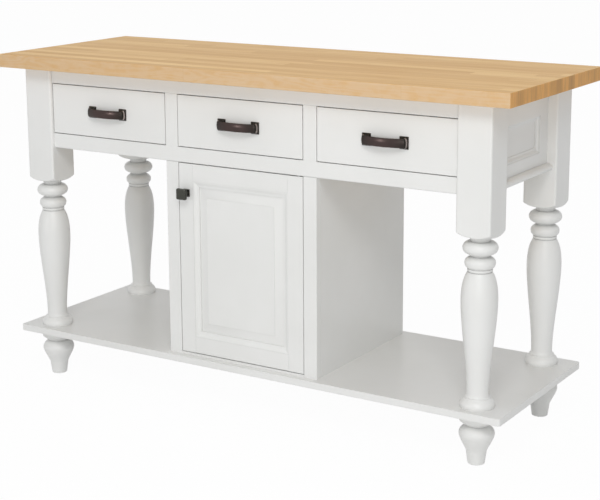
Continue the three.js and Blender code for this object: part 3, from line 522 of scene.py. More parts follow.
def whole_faces(node):
    """A copy of a CAD node's mesh, with its doubles merged and its flat faces made whole."""
    mesh = bmesh.new()
    mesh.from_mesh(frame["nodes"][node].data)
    bmesh.ops.remove_doubles(mesh, verts=mesh.verts, dist=MERGE)
    bmesh.ops.dissolve_limit(mesh, angle_limit=math.radians(0.5), verts=mesh.verts, edges=mesh.edges)
    return mesh


def along_axis(edge, axes):
    step = (edge.verts[1].co - edge.verts[0].co).normalized()
    return any(abs(step["xyz".index(axis)]) > 0.999 for axis in axes)


def ease(mesh, width, axes, shortest=0.02):
    """Rounds the outer arrises that run along these axes and are longer than shortest."""
    edges = [
        edge
        for edge in mesh.edges
        if edge.is_manifold
        and edge.is_convex
        and edge.calc_face_angle() > math.radians(60)
        and edge.calc_length() > shortest
        and along_axis(edge, axes)
    ]
    if edges:
        bmesh.ops.bevel(
            mesh, geom=edges, offset=width, segments=3, profile=0.5, affect="EDGES", clamp_overlap=True
        )


def eased_board(node, name, axes, along):
    """A painted board of the case or door, with the arrises along some axes rounded."""
    mesh = whole_faces(node)
    if axes:
        ease(mesh, bpy.context.scene.island_paint.ease, axes)
    soften(mesh)
    return publish(name, mesh, painted(along), node)


def ring(half_a, half_b, radius, steps=6):
    """A rectangle with round corners, anticlockwise, as pairs."""
    radius = min(radius, half_a, half_b)
    corners = [(1, 1, 0), (-1, 1, 1), (-1, -1, 2), (1, -1, 3)]
    pairs = []
    for side_a, side_b, quarter in corners:
        for step in range(steps + 1):
            angle = (quarter + step / steps) * math.pi / 2
            a = side_a * (half_a - radius) + radius * math.cos(angle)
            b = side_b * (half_b - radius) + radius * math.sin(angle)
            pairs.append((a, b))
    return pairs


def stacked(mesh, levels, place):
    """A closed solid through levels of (half width, half height, corner radius, distance to the front)."""
    rows = []
    for half_a, half_b, radius, reach in levels:
        pairs = ring(half_a, half_b, radius)
        rows.append([mesh.verts.new(place(a, b, reach)) for a, b in pairs])
    for low, high in zip(rows, rows[1:]):
        for i in range(len(low)):
            j = (i + 1) % len(low)
            mesh.faces.new((low[i], low[j], high[j], high[i]))
    mesh.faces.new(list(reversed(rows[0])))
    mesh.faces.new(rows[-1])


def united(*parts):
    """One new mesh of these, whose faces come in the same order in every run."""
    whole = bmesh.new()
    for part in parts:
        spare = bpy.data.meshes.new("spare")
        part.to_mesh(spare)
        part.free()
        whole.from_mesh(spare)
        bpy.data.meshes.remove(spare)
    return whole


def tidy(mesh):
    bmesh.ops.remove_doubles(mesh, verts=mesh.verts, dist=MERGE)
    bmesh.ops.recalc_face_normals(mesh, faces=mesh.faces)


# ---- Geometry Nodes ----


def new_tree(name, inputs):
    """A Geometry Nodes tree with named inputs, and a wire of each."""
    tree = bpy.data.node_groups.new(name, "GeometryNodeTree")
    tree.interface.new_socket("Geometry", in_out="OUTPUT", socket_type="NodeSocketGeometry")
    for label, kind in [("Geometry", "Geometry"), *inputs, ("Material", "Material")]:
        tree.interface.new_socket(label, in_out="INPUT", socket_type=f"NodeSocket{kind}")
    entry = tree.nodes.new("NodeGroupInput")
    return tree, {socket.name: Wire(tree, socket) for socket in entry.outputs if socket.name}


def end_tree(geometry, material):
    real = geometry.node("GeometryNodeRealizeInstances", {}, {0: geometry})
    dressed = real.node("GeometryNodeSetMaterial", {}, {"Geometry": real, "Material": material})
    dressed.into("NodeGroupOutput")


def grown(tree, points, edges, values):
    """The plain mesh that a tree makes of these points and edges, as a bmesh."""
    seed = bpy.data.meshes.new("seed")
    seed.from_pydata(points, edges, [])
    holder = bpy.data.objects.new("seed", seed)
    bpy.context.scene.collection.objects.link(holder)
    modifier = holder.modifiers.new("grow", "NODES")
    modifier.node_group = tree
    sockets = {item.name: item.identifier for item in tree.interface.items_tree if item.in_out == "INPUT"}
    for name, value in values.items():
        modifier[sockets[name]] = value
    bpy.context.view_layer.update()
    evaluated = holder.evaluated_get(bpy.context.evaluated_depsgraph_get())
    made = bpy.data.meshes.new_from_object(evaluated)
    mesh = bmesh.new()
    mesh.from_mesh(made)
    bpy.data.objects.remove(holder)
    for spent in (made, seed):
        bpy.data.meshes.remove(spent)
    tidy(mesh)
    return mesh


def turning_tree():
    """A lathe turning of a profile of (radius, 0, height), kept inside a square blank."""
    lengths = [("Crowding", "Float"), ("Blank", "Float"), ("Arris", "Float")]
    inputs = [("Sides", "Int"), *lengths, ("Centre", "Vector")]
    tree, wires = new_tree("turned_piece", inputs)
    profile = wires["Geometry"]
    size = {"component": "MESH"}
    count = profile.node("GeometryNodeAttributeDomainSize", size, {"Geometry": profile}, "Point Count")
    grid = profile.node(
        "GeometryNodeMeshGrid", {},
        {"Size X": 1.0, "Size Y": 1.0, "Vertices X": count, "Vertices Y": wires["Sides"] + 1},
    )
    position = profile.node("GeometryNodeInputPosition")
    u, v, _ = position.split()
    row = ((u + 0.5) * (count - 1)).maths("ROUND")
    quarter = (v + 0.5) * 4
    crowd = wires["Crowding"] / math.tau
    angle = (quarter + crowd * (quarter * math.tau).maths("SINE")) * (math.pi / 2)
    sample = {"data_type": "FLOAT_VECTOR", "domain": "POINT"}
    point = profile.node(
        "GeometryNodeSampleIndex", sample, {"Geometry": profile, "Value": position, "Index": row}
    )
    radius, _, height = point.split()
    cosine, sine = angle.maths("COSINE"), angle.maths("SINE")
    long = cosine.maths("ABSOLUTE").maths("MAXIMUM", sine.maths("ABSOLUTE"))
    short = cosine.maths("ABSOLUTE").maths("MINIMUM", sine.maths("ABSOLUTE"))
    half = wires["Blank"] * 0.5
    flat = half / long
    core = half - wires["Arris"]
    spread = core * (long + short)
    under = spread * spread - core * core * 2 + wires["Arris"] * wires["Arris"]
    corner = spread + under.maths("MAXIMUM", 0.0).maths("SQRT")
    at_corner = flat * short > core
    square = flat * (1 - at_corner) + corner * at_corner
    cut = radius.maths("MINIMUM", square)
    ring_point = cut.joined(cut * cosine, cut * sine, height)
    moved = ring_point.node(
        "ShaderNodeVectorMath", {"operation": "ADD"}, {0: ring_point, 1: wires["Centre"]}
    )
    shaped = grid.node("GeometryNodeSetPosition", {}, {"Geometry": grid, "Position": moved})
    sealed = shaped.node("GeometryNodeMergeByDistance", {}, {"Geometry": shaped, "Distance": MERGE})
    end_tree(sealed, wires["Material"])
    return tree


def strap_tree():
    """A strap along a level path: flat at the back, crowned at the front."""
    inputs = [("Height", "Float"), ("Thickness", "Float"), ("Arris", "Float"), ("Crown", "Float")]
    tree, wires = new_tree("bowed_strap", inputs)
    path = wires["Geometry"].node("GeometryNodeMeshToCurve", {}, {0: wires["Geometry"]})
    upright = path.node("GeometryNodeSetCurveNormal", {"mode": "Z_UP"}, {"Curve": path})
    section = path.node(
        "GeometryNodeCurvePrimitiveQuadrilateral", {"mode": "RECTANGLE"},
        {"Width": wires["Thickness"], "Height": wires["Height"]},
    )
    rounded = section.node(
        "GeometryNodeFilletCurve", {"mode": "POLY"},
        {"Curve": section, "Radius": wires["Arris"], "Count": 4, "Limit Radius": True},
    )
    spaced = rounded.node(
        "GeometryNodeResampleCurve", {"mode": "LENGTH"}, {"Curve": rounded, "Length": wires["Arris"] * 0.5}
    )
    x, y, _ = spaced.node("GeometryNodeInputPosition").split()
    level = y / (wires["Height"] * 0.5)
    drop = level * level * wires["Crown"] * (x > 0.0)
    crowned = spaced.node(
        "GeometryNodeSetPosition", {}, {"Geometry": spaced, "Offset": spaced.joined(0.0 - drop, 0.0, 0.0)}
    )
    strap = path.node(
        "GeometryNodeCurveToMesh", {}, {"Curve": upright, "Profile Curve": crowned, "Fill Caps": True}
    )
    end_tree(strap, wires["Material"])
    return tree


def screw_tree():
    """A row of screw heads at the seed's points, each a low disc with a sloped rim."""
    inputs = [("Radius", "Float"), ("Height", "Float"), ("Turn", "Vector")]
    tree, wires = new_tree("screw_row", inputs)
    seats = wires["Geometry"].node("GeometryNodeMeshToPoints", {}, {"Mesh": wires["Geometry"]})
    disc = seats.node(
        "GeometryNodeMeshCone", {"fill_type": "NGON"},
        {
            "Vertices": 20, "Side Segments": 1, "Radius Top": wires["Radius"] * 0.72,
            "Radius Bottom": wires["Radius"], "Depth": wires["Height"],
        },
    )
    heads = seats.node(
        "GeometryNodeInstanceOnPoints", {}, {"Points": seats, "Instance": disc, "Rotation": wires["Turn"]}
    )
    end_tree(heads, wires["Material"])
    return tree


# ---- Turned legs and feet ----

# The turner's sizes in millimetres. A set is a radius and a height: a drop below the square block, or
# a rise above the shelf for the waist and base, and above the base for the lip. A groove or fillet has
# two heights. Slopes and reaches bend a curve, and so does the third number of any other set but the
# bead, where it is half the bead's height.
BLOCK_DROP = 85.4
THROAT = (26, 15)
SHOULDER_RISE = 29
SHOULDER_CLEARANCE = 5
BEAD = (42.2, 41.8, 16)
COLLAR = (23.6, 61)
RING = (36.7, 76.8)
RING_SLOPE = (28, 66, 68.5)
RING_FOOT = (32, 89.3, 4)
RING_GROOVE = (29, 89.8, 91.6)
FILLET = (30.2, 92.3, 97.3)
NECK_GROOVE = (28, 97.8, 99.8)
NECK = (29.7, 100.2)
NECK_SLOPE = (6, 8.7)
BELLY_CLEARANCE = 0.25
BELLY_AT = 0.765
BELLY_REACH = (63, 42)
WAIST = (27, 36.5, 70)
BASE = (40.95, 23, 6)
LIP = (32, 2.5)
TENON_RADIUS = 12.5
LEG_ARRIS = 5
JOINT_GAP = 0.3

# And those of a foot: radii, and heights as shares of its own height, but the toe's rounding in full
FOOT_TOE = (21, 3)
FOOT_ANKLE = (25.3, 0.265)
FOOT_ANKLE_SLOPE = (2.2, 0.072)
FOOT_BALL = (43.5, 0.615, 0.088)
FOOT_NECK = (28, 0.787)
FOOT_NECK_SLOPE = (6, 0.045)
FOOT_FLANGE = (43, 0.885)


class Profile:
    """The outline of a turning as (radius, height) in millimetres, drawn from its foot upwards."""

    def __init__(self, steps, radius, height):
        self.steps = steps
        self.pairs = [(radius, height)]

    def line(self, radius, height):
        self.pairs.append((radius, height))

    def curve(self, *controls):
        """A Bezier curve from the last point through these controls to the last of them."""
        points = [self.pairs[-1], *controls]
        degree = len(points) - 1
        for step in range(1, self.steps + 1):
            t = step / self.steps
            weights = [math.comb(degree, k) * t**k * (1 - t) ** (degree - k) for k in range(degree + 1)]
            self.pairs.append(tuple(sum(w * p[i] for w, p in zip(weights, points)) for i in (0, 1)))

    def arc(self, centre, radii, start, end, steps):
        for step in range(steps + 1):
            angle = start + (end - start) * step / steps
            self.pairs.append(
                (centre[0] + radii[0] * math.cos(angle), centre[1] + radii[1] * math.sin(angle))
            )

    def vertices(self):
        return [(radius * MM, 0.0, height * MM) for radius, height in self.pairs]


def leg_profile(steps):
    shelf = SHELF_HIGH.z / MM
    under = LEG_HIGH.z / MM
    block = RAIL_LOW.z / MM - BLOCK_DROP
    blank = (LEG_HIGH.x - LEG_LOW.x) / MM
    belly = blank / 2 - BELLY_CLEARANCE
    waist_z = shelf + WAIST[1]
    neck_z = block - NECK[1]
    belly_z = waist_z + (neck_z - waist_z) * BELLY_AT
    collar_z = block - COLLAR[1]
    ring_z = block - RING[1]
    bead_z = block - BEAD[1]
    throat_z = block - THROAT[1]
    reach = blank * math.sqrt(0.5) + SHOULDER_CLEARANCE - THROAT[0]
    lip_z = shelf + BASE[1] + LIP[1]
    path = Profile(steps, 0, LEG_LOW.z / MM)
    path.line(TENON_RADIUS, LEG_LOW.z / MM)
    path.line(TENON_RADIUS, shelf)
    path.line(BASE[0], shelf)
    path.curve((BASE[0] + BASE[2], shelf + BASE[1] / 2), (LIP[0], lip_z - LIP[1]))
    path.line(LIP[0], lip_z)
    path.curve((WAIST[0], lip_z), (WAIST[0], waist_z))
    path.curve((WAIST[0], waist_z + WAIST[2]), (belly, belly_z - BELLY_REACH[0]), (belly, belly_z))
    path.curve(
        (belly, belly_z + BELLY_REACH[1]),
        (NECK[0] + NECK_SLOPE[0], neck_z - NECK_SLOPE[1]),
        (NECK[0], neck_z),
    )
    for radius, low, high in (NECK_GROOVE, FILLET, RING_GROOVE):
        path.line(radius, block - high)
        path.line(radius, block - low)
    path.line(RING_FOOT[0], block - RING_FOOT[1])
    path.curve((RING[0], block - RING_FOOT[1] + RING_FOOT[2]), (RING[0], ring_z))
    path.curve(
        (RING[0], block - RING_SLOPE[2]), (RING_SLOPE[0], block - RING_SLOPE[1]), (COLLAR[0], collar_z)
    )
    path.arc((COLLAR[0], bead_z), (BEAD[0] - COLLAR[0], BEAD[2]), -math.pi / 2, math.pi / 2, 2 * steps)
    path.line(THROAT[0], throat_z)
    path.arc((THROAT[0], throat_z + SHOULDER_RISE), (reach, SHOULDER_RISE), -math.pi / 2, 0, 4 * steps)
    path.line(THROAT[0] + reach, under)
    path.line(0, under)
    return path.vertices()


def foot_profile(steps):
    top = SHELF_LOW.z / MM
    bore_z = LEG_LOW.z / MM - JOINT_GAP
    bore = TENON_RADIUS + JOINT_GAP
    ball, ball_at, full = FOOT_BALL
    path = Profile(steps, 0, 0)
    path.line(FOOT_TOE[0] - FOOT_TOE[1], 0)
    path.curve((FOOT_TOE[0], 0), (FOOT_TOE[0], FOOT_TOE[1]))
    path.line(FOOT_ANKLE[0], top * FOOT_ANKLE[1])
    path.curve(
        (FOOT_ANKLE[0] + FOOT_ANKLE_SLOPE[0], top * (FOOT_ANKLE[1] + FOOT_ANKLE_SLOPE[1])),
        (ball, top * (ball_at - full)),
        (ball, top * ball_at),
    )
    path.curve(
        (ball, top * (ball_at + full)),
        (FOOT_NECK[0] + FOOT_NECK_SLOPE[0], top * (FOOT_NECK[1] - FOOT_NECK_SLOPE[1])),
        (FOOT_NECK[0], top * FOOT_NECK[1]),
    )
    path.line(FOOT_FLANGE[0], top * FOOT_FLANGE[1])
    path.line(FOOT_FLANGE[0], top)
    path.line(bore, top)
    path.line(bore, bore_z)
    path.line(0, bore_z)
    return path.vertices()


def turned(node, name, profile, blank, tree):
    """One turned piece, centred on its CAD node."""
    turning = bpy.context.scene.island_turning
    low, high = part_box(node)
    values = {
        "Sides": turning.sides,
        "Crowding": turning.crowding if blank else 0.0,
        "Blank": blank or 1.0,
        "Arris": LEG_ARRIS * MM,
        "Centre": ((low.x + high.x) / 2, (low.y + high.y) / 2, 0.0),
        "Material": painted("z"),
    }
    chain = [(i, i + 1) for i in range(len(profile) - 1)]
    mesh = grown(tree, profile, chain, values)
    soften(mesh)
    publish(name, mesh, painted("z"), node, weighted=False)


class ISLAND_OT_turnings(bpy.types.Operator):
    """Turn the four legs out of square blanks, and the four feet"""

    bl_idname = "island.turnings"
    bl_label = "Legs and Feet"

    def execute(self, context):
        steps = context.scene.island_turning.steps
        tree = turning_tree()
        blank = LEG_HIGH.x - LEG_LOW.x
        for depth in ("front", "back"):
            for side in SIDES:
                corner = f"{depth}_{side}"
                turned(f"leg_{corner}", f"turned_leg_{corner}", leg_profile(steps), blank, tree)
                turned(f"foot_{corner}", f"turned_foot_{corner}", foot_profile(steps), 0.0, tree)
        return {"FINISHED"}


# ---- Butcher block ----


class ISLAND_OT_block(bpy.types.Operator):
    """Make the maple slab with its eased arrises"""

    bl_idname = "island.block"
    bl_label = "Butcher-Block Top"

    def execute(self, context):
        width = context.scene.island_block.ease
        mesh = bmesh.new()
        bmesh.ops.create_cube(mesh, size=1)
        middle = (TOP_LOW + TOP_HIGH) / 2
        for vertex in mesh.verts:
            vertex.co = middle + Vector(a * b for a, b in zip(vertex.co, TOP_HIGH - TOP_LOW))
        bmesh.ops.bevel(
            mesh,
            geom=mesh.edges[:],
            offset=width,
            segments=4,
            profile=0.5,
            affect="EDGES",
            clamp_overlap=True,
        )
        soften(mesh)
        publish("butcher_block", mesh, maple(), "butcher_block_top")
        return {"FINISHED"}


# ---- Case ----


class ISLAND_OT_case(bpy.types.Operator):
    """Dress the shelf, face frame, aprons and cupboard"""

    bl_idname = "island.case"
    bl_label = "Case"

    def execute(self, context):
        eased_board("lower_shelf", "shelf_board", "", "x")
        eased_board("top_rail", "rail_over_drawers", "x", "x")
        eased_board("drawer_rail", "rail_under_drawers", "x", "x")
        eased_board("rear_apron", "apron_back", "x", "x")
        eased_board("cupboard_sill", "sill_strip", "", "x")
        eased_board("cupboard_back", "cupboard_back_board", "", "z")
        eased_board("cupboard_shelf", "cupboard_shelf_board", "x", "x")
        for side in SIDES:
            eased_board(f"drawer_divider_{side}", f"muntin_{side}", "z", "z")
            eased_board(f"cupboard_stile_{side}", f"stile_{side}", "z", "z")
            eased_board(f"cupboard_side_{side}", f"cupboard_wall_{side}", "", "z")
            eased_board(f"end_frame_{side}", f"apron_end_{side}", "", "y")
            eased_board(f"end_panel_{side}", f"apron_panel_{side}", "", "y")
        return {"FINISHED"}


# ---- Drawers ----

BOX_ARRIS = 1.0 * MM
BOX_SHORTEST = 0.1


class ISLAND_OT_drawers(bpy.types.Operator):
    """Dress the drawer fronts, boxes and bottoms"""

    bl_idname = "island.drawers"
    bl_label = "Drawers"

    def execute(self, context):
        for hand in HANDS:
            eased_board(f"drawer_front_{hand}", f"front_{hand}", "", "x")
            for node, name, axes in (
                (f"drawer_box_{hand}", f"box_{hand}", "xy"),
                (f"drawer_bottom_{hand}", f"box_floor_{hand}", ""),
            ):
                mesh = whole_faces(node)
                ease(mesh, BOX_ARRIS, axes, BOX_SHORTEST)
                soften(mesh)
                publish(name, mesh, birch(), node)
        return {"FINISHED"}


# ---- Slides ----

SCREW_RADIUS = 4.2 * MM
SCREW_HEIGHT = 1.4 * MM
SCREW_INSET = 40 * MM
SCREW_SINK = 0.05 * MM
SCREWS = 4
SLIDE_GAUGE = 1.5 * MM
SLIDE_ARRIS = 0.4 * MM


class ISLAND_OT_slides(bpy.types.Operator):
    """Dress the telescopic slides, each with a row of screws"""

    bl_idname = "island.slides"
    bl_label = "Slides"

    def execute(self, context):
        tree = screw_tree()
        for hand in HANDS:
            for edge, outwards in (("l", -1), ("r", 1)):
                self.dress(tree, f"drawer_slide_{hand}_{edge}", outwards, outwards)
                self.dress(tree, f"case_slide_{hand}_{edge}", outwards, -outwards)
        return {"FINISHED"}

    def dress(self, tree, node, outwards, heads_towards):
        """A channel whose web has a row of screw heads on its open side."""
        low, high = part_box(node)
        web_x = low.x if heads_towards > 0 else high.x
        seat_x = web_x + heads_towards * (SLIDE_GAUGE + SCREW_HEIGHT / 2 - SCREW_SINK)
        middle_z = (low.z + high.z) / 2
        gap = (high.y - low.y - 2 * SCREW_INSET) / (SCREWS - 1)
        seats = [(seat_x, low.y + SCREW_INSET + i * gap, middle_z) for i in range(SCREWS)]
        values = {
            "Radius": SCREW_RADIUS,
            "Height": SCREW_HEIGHT,
            "Turn": (0.0, heads_towards * math.pi / 2, 0.0),
            "Material": steel(),
        }
        channel = whole_faces(node)
        ease(channel, SLIDE_ARRIS, "y")
        mesh = united(channel, grown(tree, seats, [], values))
        soften(mesh)
        publish(node.replace("slide", "runner"), mesh, steel(), node)


# ---- Pulls and knob ----

# Sizes in millimetres, with reaches from the drawer's face; a pad is width, height and thickness
PULL_HALF = 63.0
PULL_REACH = 25.0
PULL_SHOULDER = 15.5
PULL_BEND = 7.0
STRAP_INSET = 3.0
STRAP_HEIGHT = 22.0
STRAP_THICKNESS = 5.0
STRAP_CROWN = 1.6
STRAP_ARRIS = 1.1
STRAP_STEPS = 12
PAD = (24.5, 31.0, 8.0)
PAD_RIM = 1.5
PAD_TAPER = 4.5


def strap_path(face_y, centre):
    """The middle line of a strap, in metres, from one pad over the bow to the other."""
    inset = STRAP_THICKNESS / 2
    half = PULL_HALF - STRAP_INSET - inset
    shoulder = PULL_SHOULDER - inset
    bend = PULL_BEND - inset
    crown = 2 * (PULL_REACH - inset) - shoulder
    path = Profile(STRAP_STEPS, -half, PAD[2] / 2)
    path.curve((-half, shoulder), (bend - half, shoulder))
    path.curve((0, crown), (half - bend, shoulder))
    path.curve((half, shoulder), (half, PAD[2] / 2))
    return [(centre.x + a * MM, face_y - b * MM, centre.z) for a, b in path.pairs]


class ISLAND_OT_pulls(bpy.types.Operator):
    """Make the bowed pulls on their stepped pads"""

    bl_idname = "island.pulls"
    bl_label = "Drawer Pulls"

    def execute(self, context):
        tree = strap_tree()
        for hand in HANDS:
            node = f"drawer_pull_{hand}"
            low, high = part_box(node)
            centre = (low + high) / 2
            path = strap_path(high.y, centre)
            values = {
                "Height": STRAP_HEIGHT * MM,
                "Thickness": STRAP_THICKNESS * MM,
                "Arris": STRAP_ARRIS * MM,
                "Crown": STRAP_CROWN * MM,
                "Material": bronze(),
            }
            mesh = grown(tree, path, [(i, i + 1) for i in range(len(path) - 1)], values)
            for side in (-1, 1):
                self.pad(mesh, centre.x + side * (PULL_HALF - PAD[0] / 2) * MM, high.y, centre.z)
            bmesh.ops.recalc_face_normals(mesh, faces=mesh.faces)
            soften(mesh)
            publish(f"pull_{hand}", mesh, bronze(), node)
        return {"FINISHED"}

    def pad(self, mesh, x, face_y, z):
        """A plate with a straight rim that tapers towards the strap."""
        width, height, thickness = PAD[0] / 2, PAD[1] / 2, PAD[2]
        insets = [
            (0, 1.2, 0), (0, 1.2, PAD_RIM - 0.4), (0.15, 1.1, PAD_RIM - 0.1), (0.5, 1.0, PAD_RIM + 0.3),
            (PAD_TAPER - 0.5, 0.8, thickness - 1.0), (PAD_TAPER, 0.7, thickness - 0.4),
            (PAD_TAPER + 0.6, 0.6, thickness - 0.1), (PAD_TAPER + 1.6, 0.5, thickness),
        ]
        levels = [(width - inset, height - inset, corner, reach) for inset, corner, reach in insets]
        stacked(
            mesh,
            [tuple(value * MM for value in level) for level in levels],
            lambda a, b, reach: (x + a, face_y - reach, z + b),
        )


# The square knob in millimetres: half widths, its reach from the door and the head's thickness
KNOB_HEAD = 14.5
KNOB_BASE = 10.0
KNOB_STEM = 6.0
KNOB_REACH = 28.0
KNOB_HEAD_THICKNESS = 10.0


class ISLAND_OT_knob(bpy.types.Operator):
    """Make the square knob"""

    bl_idname = "island.knob"
    bl_label = "Door Knob"

    def execute(self, context):
        low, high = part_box("door_knob")
        centre = (low + high) / 2
        back = KNOB_REACH - KNOB_HEAD_THICKNESS
        stem, head = KNOB_STEM, KNOB_HEAD
        levels = [
            (KNOB_BASE, 1.5, 0), (KNOB_BASE, 1.5, 2.8), (KNOB_BASE - 0.4, 1.3, 3.6),
            (KNOB_BASE - 1.4, 1.2, 4.0), (stem + 1.2, stem + 1.2, 4.6), (stem, stem, 7.0),
            (stem, stem, back - 3.0), (stem + 1.6, stem, back - 0.6), (head - 2.4, 2.0, back),
            (head - 0.7, 2.6, back + 0.7), (head, 3.0, back + 2.4), (head, 3.0, KNOB_REACH - 2.6),
            (head - 0.7, 2.8, KNOB_REACH - 0.9), (head - 2.4, 2.2, KNOB_REACH - 0.15),
            (head - 5.5, 1.6, KNOB_REACH),
        ]
        mesh = bmesh.new()
        stacked(
            mesh,
            [(half * MM, half * MM, corner * MM, reach * MM) for half, corner, reach in levels],
            lambda a, b, reach: (centre.x + a, high.y - reach, centre.z + b),
        )
        bmesh.ops.recalc_face_normals(mesh, faces=mesh.faces)
        soften(mesh)
        publish("knob", mesh, greyed_bronze(), "door_knob")
        return {"FINISHED"}


# ---- Door ----


class ISLAND_OT_door(bpy.types.Operator):
    """Dress the door's stiles, rails and raised panel"""

    bl_idname = "island.door"
    bl_label = "Door"

    def execute(self, context):
        eased_board("door_lock_stile", "lock_stile", "", "z")
        eased_board("door_hinge_stile", "hinge_stile", "", "z")
        eased_board("door_top_rail", "top_member", "", "x")
        eased_board("door_bottom_rail", "bottom_member", "", "x")
        eased_board("door_panel", "raised_panel", "", "z")
        return {"FINISHED"}


STEEL_ARRIS = 0.3 * MM
CATCH_ARRIS = 1.6 * MM
FITTING_SHORTEST = 0.008


class ISLAND_OT_door_fittings(bpy.types.Operator):
    """Dress the pivots, the strike and the magnetic catch"""

    bl_idname = "island.door_fittings"
    bl_label = "Pivots and Catch"

    def execute(self, context):
        for end in ("upper", "lower"):
            self.dress(f"door_pivot_{end}", f"pivot_{end}", steel(), "steel", STEEL_ARRIS)
        self.dress("catch_strike", "strike_plate", steel(), "steel", STEEL_ARRIS)
        self.dress("magnetic_catch", "catch_body", nylon(), "nylon", CATCH_ARRIS)
        return {"FINISHED"}

    def dress(self, node, name, material, slot, width):
        mesh = whole_faces(node)
        ease(mesh, width, "xyz", FITTING_SHORTEST)
        soften(mesh)
        publish(name, mesh, material, node)


# ---- Stage ----

CAMERA_PLACE = (2.0866, -3.2643, 1.3735)
CAMERA_YAW = 0.5603
CAMERA_PITCH = -0.2055
CAMERA_ROLL = -0.0049
LENS = 88.95
SENSOR = 36.0
SHIFT_Y = -0.10
FLOOR_HALF = 60.0
SKY_COLOUR = (0.98, 0.99, 1.0)
# Place, aim and size of each light
LIGHTS = {
    "key": ((2.0, -3.8, 4.1), (0.0, 0.0, 0.45), (2.4, 1.6)),
    "side": ((-1.6, -4.0, 1.0), (0.0, 0.0, 0.7), (0.35, 0.6)),
    "low": ((2.1, -3.7, 1.0), (0.0, 0.0, 0.35), (2.4, 1.2)),
    "top": ((-0.4, -0.6, 4.2), (0.0, 0.0, 0.5), (3.5, 3.5)),
}


def soft_light(name, place, aim, size, energy):
    lamp = bpy.data.lights.new(name, "AREA")
    lamp.shape = "RECTANGLE"
    lamp.size, lamp.size_y = size
    lamp.energy = energy
    holder = bpy.data.objects.new(name, lamp)
    holder.location = place
    holder.rotation_euler = (Vector(aim) - Vector(place)).to_track_quat("-Z", "Y").to_euler()
    bpy.context.scene.collection.objects.link(holder)


def seen_directly(start):
    """1 for what the camera sees, also in metal and glass."""
    path = start.node("ShaderNodeLightPath")
    outputs = path.socket.node.outputs
    camera, glossy, through = (
        Wire(start.tree, outputs[f"Is {kind} Ray"]) for kind in ("Camera", "Glossy", "Transmission")
    )
    return camera.maths("MAXIMUM", glossy).maths("MAXIMUM", through)


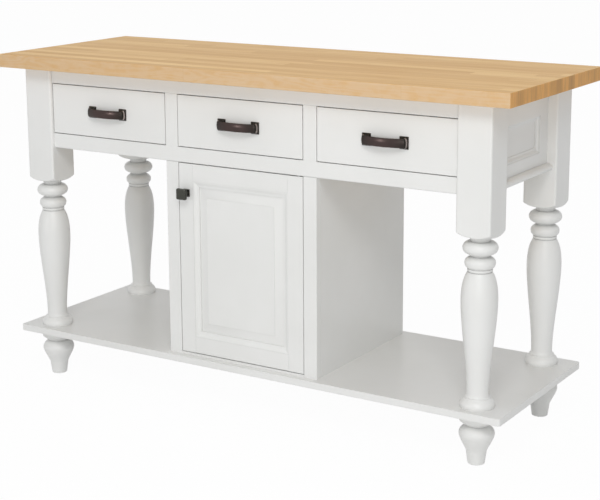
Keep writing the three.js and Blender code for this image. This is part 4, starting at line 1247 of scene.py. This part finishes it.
class ISLAND_OT_stage(bpy.types.Operator):
    """Set up the pale floor, the soft lights and the camera"""

    bl_idname = "island.stage"
    bl_label = "Stage"

    def execute(self, context):
        stage = context.scene.island_stage
        self.floor(stage)
        self.surroundings(stage)
        for name, (place, aim, size) in LIGHTS.items():
            soft_light(f"{name}_light", place, aim, size, getattr(stage, name))
        self.camera()
        context.scene.view_settings.view_transform = "Standard"
        return {"FINISHED"}

    def floor(self, stage):
        data = bpy.data.meshes.new("floor")
        half = FLOOR_HALF
        corners = [(-half, -half, 0), (half, -half, 0), (half, half, 0), (-half, half, 0)]
        data.from_pydata(corners, [], [(0, 1, 2, 3)])
        floor = bpy.data.objects.new("floor", data)
        bpy.context.scene.collection.objects.link(floor)
        material = bpy.data.materials.new("pale_floor")
        material.use_nodes = True
        material.node_tree.nodes.clear()
        start = Wire(material.node_tree)
        lit = start.node("ShaderNodeBsdfDiffuse", {}, {"Color": opaque(stage.floor)})
        white = start.node("ShaderNodeEmission", {}, {"Color": (1, 1, 1, 1), "Strength": 1.0})
        factor = seen_directly(start) * stage.floor_light
        mixed = start.node("ShaderNodeMixShader", {}, {0: factor, 1: lit, 2: white})
        mixed.into("ShaderNodeOutputMaterial")
        data.materials.append(material)

    def surroundings(self, stage):
        world = bpy.data.worlds.new("studio")
        world.use_nodes = True
        world.node_tree.nodes.clear()
        bpy.context.scene.world = world
        start = Wire(world.node_tree)
        sockets = {"Color": opaque(SKY_COLOUR), "Strength": stage.sky}
        light = start.node("ShaderNodeBackground", {}, sockets)
        white = start.node("ShaderNodeBackground", {}, {"Color": (1, 1, 1, 1), "Strength": 1.0})
        mixed = start.node("ShaderNodeMixShader", {}, {0: seen_directly(start), 1: light, 2: white})
        mixed.into("ShaderNodeOutputWorld")

    def camera(self):
        data = bpy.data.cameras.new("camera")
        data.sensor_width = SENSOR
        data.sensor_fit = "HORIZONTAL"
        data.lens = LENS
        data.shift_y = SHIFT_Y
        camera = bpy.data.objects.new("camera", data)
        camera.location = CAMERA_PLACE
        turn = Matrix.Rotation(CAMERA_YAW, 3, "Z") @ Matrix.Rotation(math.pi / 2 + CAMERA_PITCH, 3, "X")
        camera.rotation_euler = (turn @ Matrix.Rotation(CAMERA_ROLL, 3, "Z")).to_euler()
        bpy.context.scene.collection.objects.link(camera)
        bpy.context.scene.camera = camera


# ---- Panel and registration ----

OPERATORS = (
    ISLAND_OT_block,
    ISLAND_OT_turnings,
    ISLAND_OT_case,
    ISLAND_OT_drawers,
    ISLAND_OT_slides,
    ISLAND_OT_pulls,
    ISLAND_OT_door,
    ISLAND_OT_knob,
    ISLAND_OT_door_fittings,
    ISLAND_OT_stage,
)
GROUPS = {
    "island_paint": IslandPaint,
    "island_block": IslandBlock,
    "island_turning": IslandTurning,
    "island_fittings": IslandFittings,
    "island_stage": IslandStage,
}


class ISLAND_PT_panel(bpy.types.Panel):
    """Settings and steps of the island"""

    bl_idname = "ISLAND_PT_panel"
    bl_label = "Kitchen Island"
    bl_space_type = "VIEW_3D"
    bl_region_type = "UI"
    bl_category = "Island"

    def draw(self, context):
        for attribute in GROUPS:
            group = getattr(context.scene, attribute)
            box = self.layout.box()
            for name in group.bl_rna.properties.keys():
                if name not in ("rna_type", "name"):
                    box.prop(group, name)
        for operator in OPERATORS:
            self.layout.operator(operator.bl_idname)


def register():
    for made in (*GROUPS.values(), *OPERATORS, ISLAND_PT_panel):
        bpy.utils.register_class(made)
    for attribute, group in GROUPS.items():
        setattr(bpy.types.Scene, attribute, PointerProperty(type=group))


def unregister():
    for attribute in GROUPS:
        delattr(bpy.types.Scene, attribute)
    for made in (ISLAND_PT_panel, *reversed(OPERATORS), *reversed(GROUPS.values())):
        bpy.utils.unregister_class(made)


def main():
    register()
    for operator in OPERATORS:
        group, name = operator.bl_idname.split(".")
        getattr(getattr(bpy.ops, group), name)()


if __name__ == "__main__":
    main()
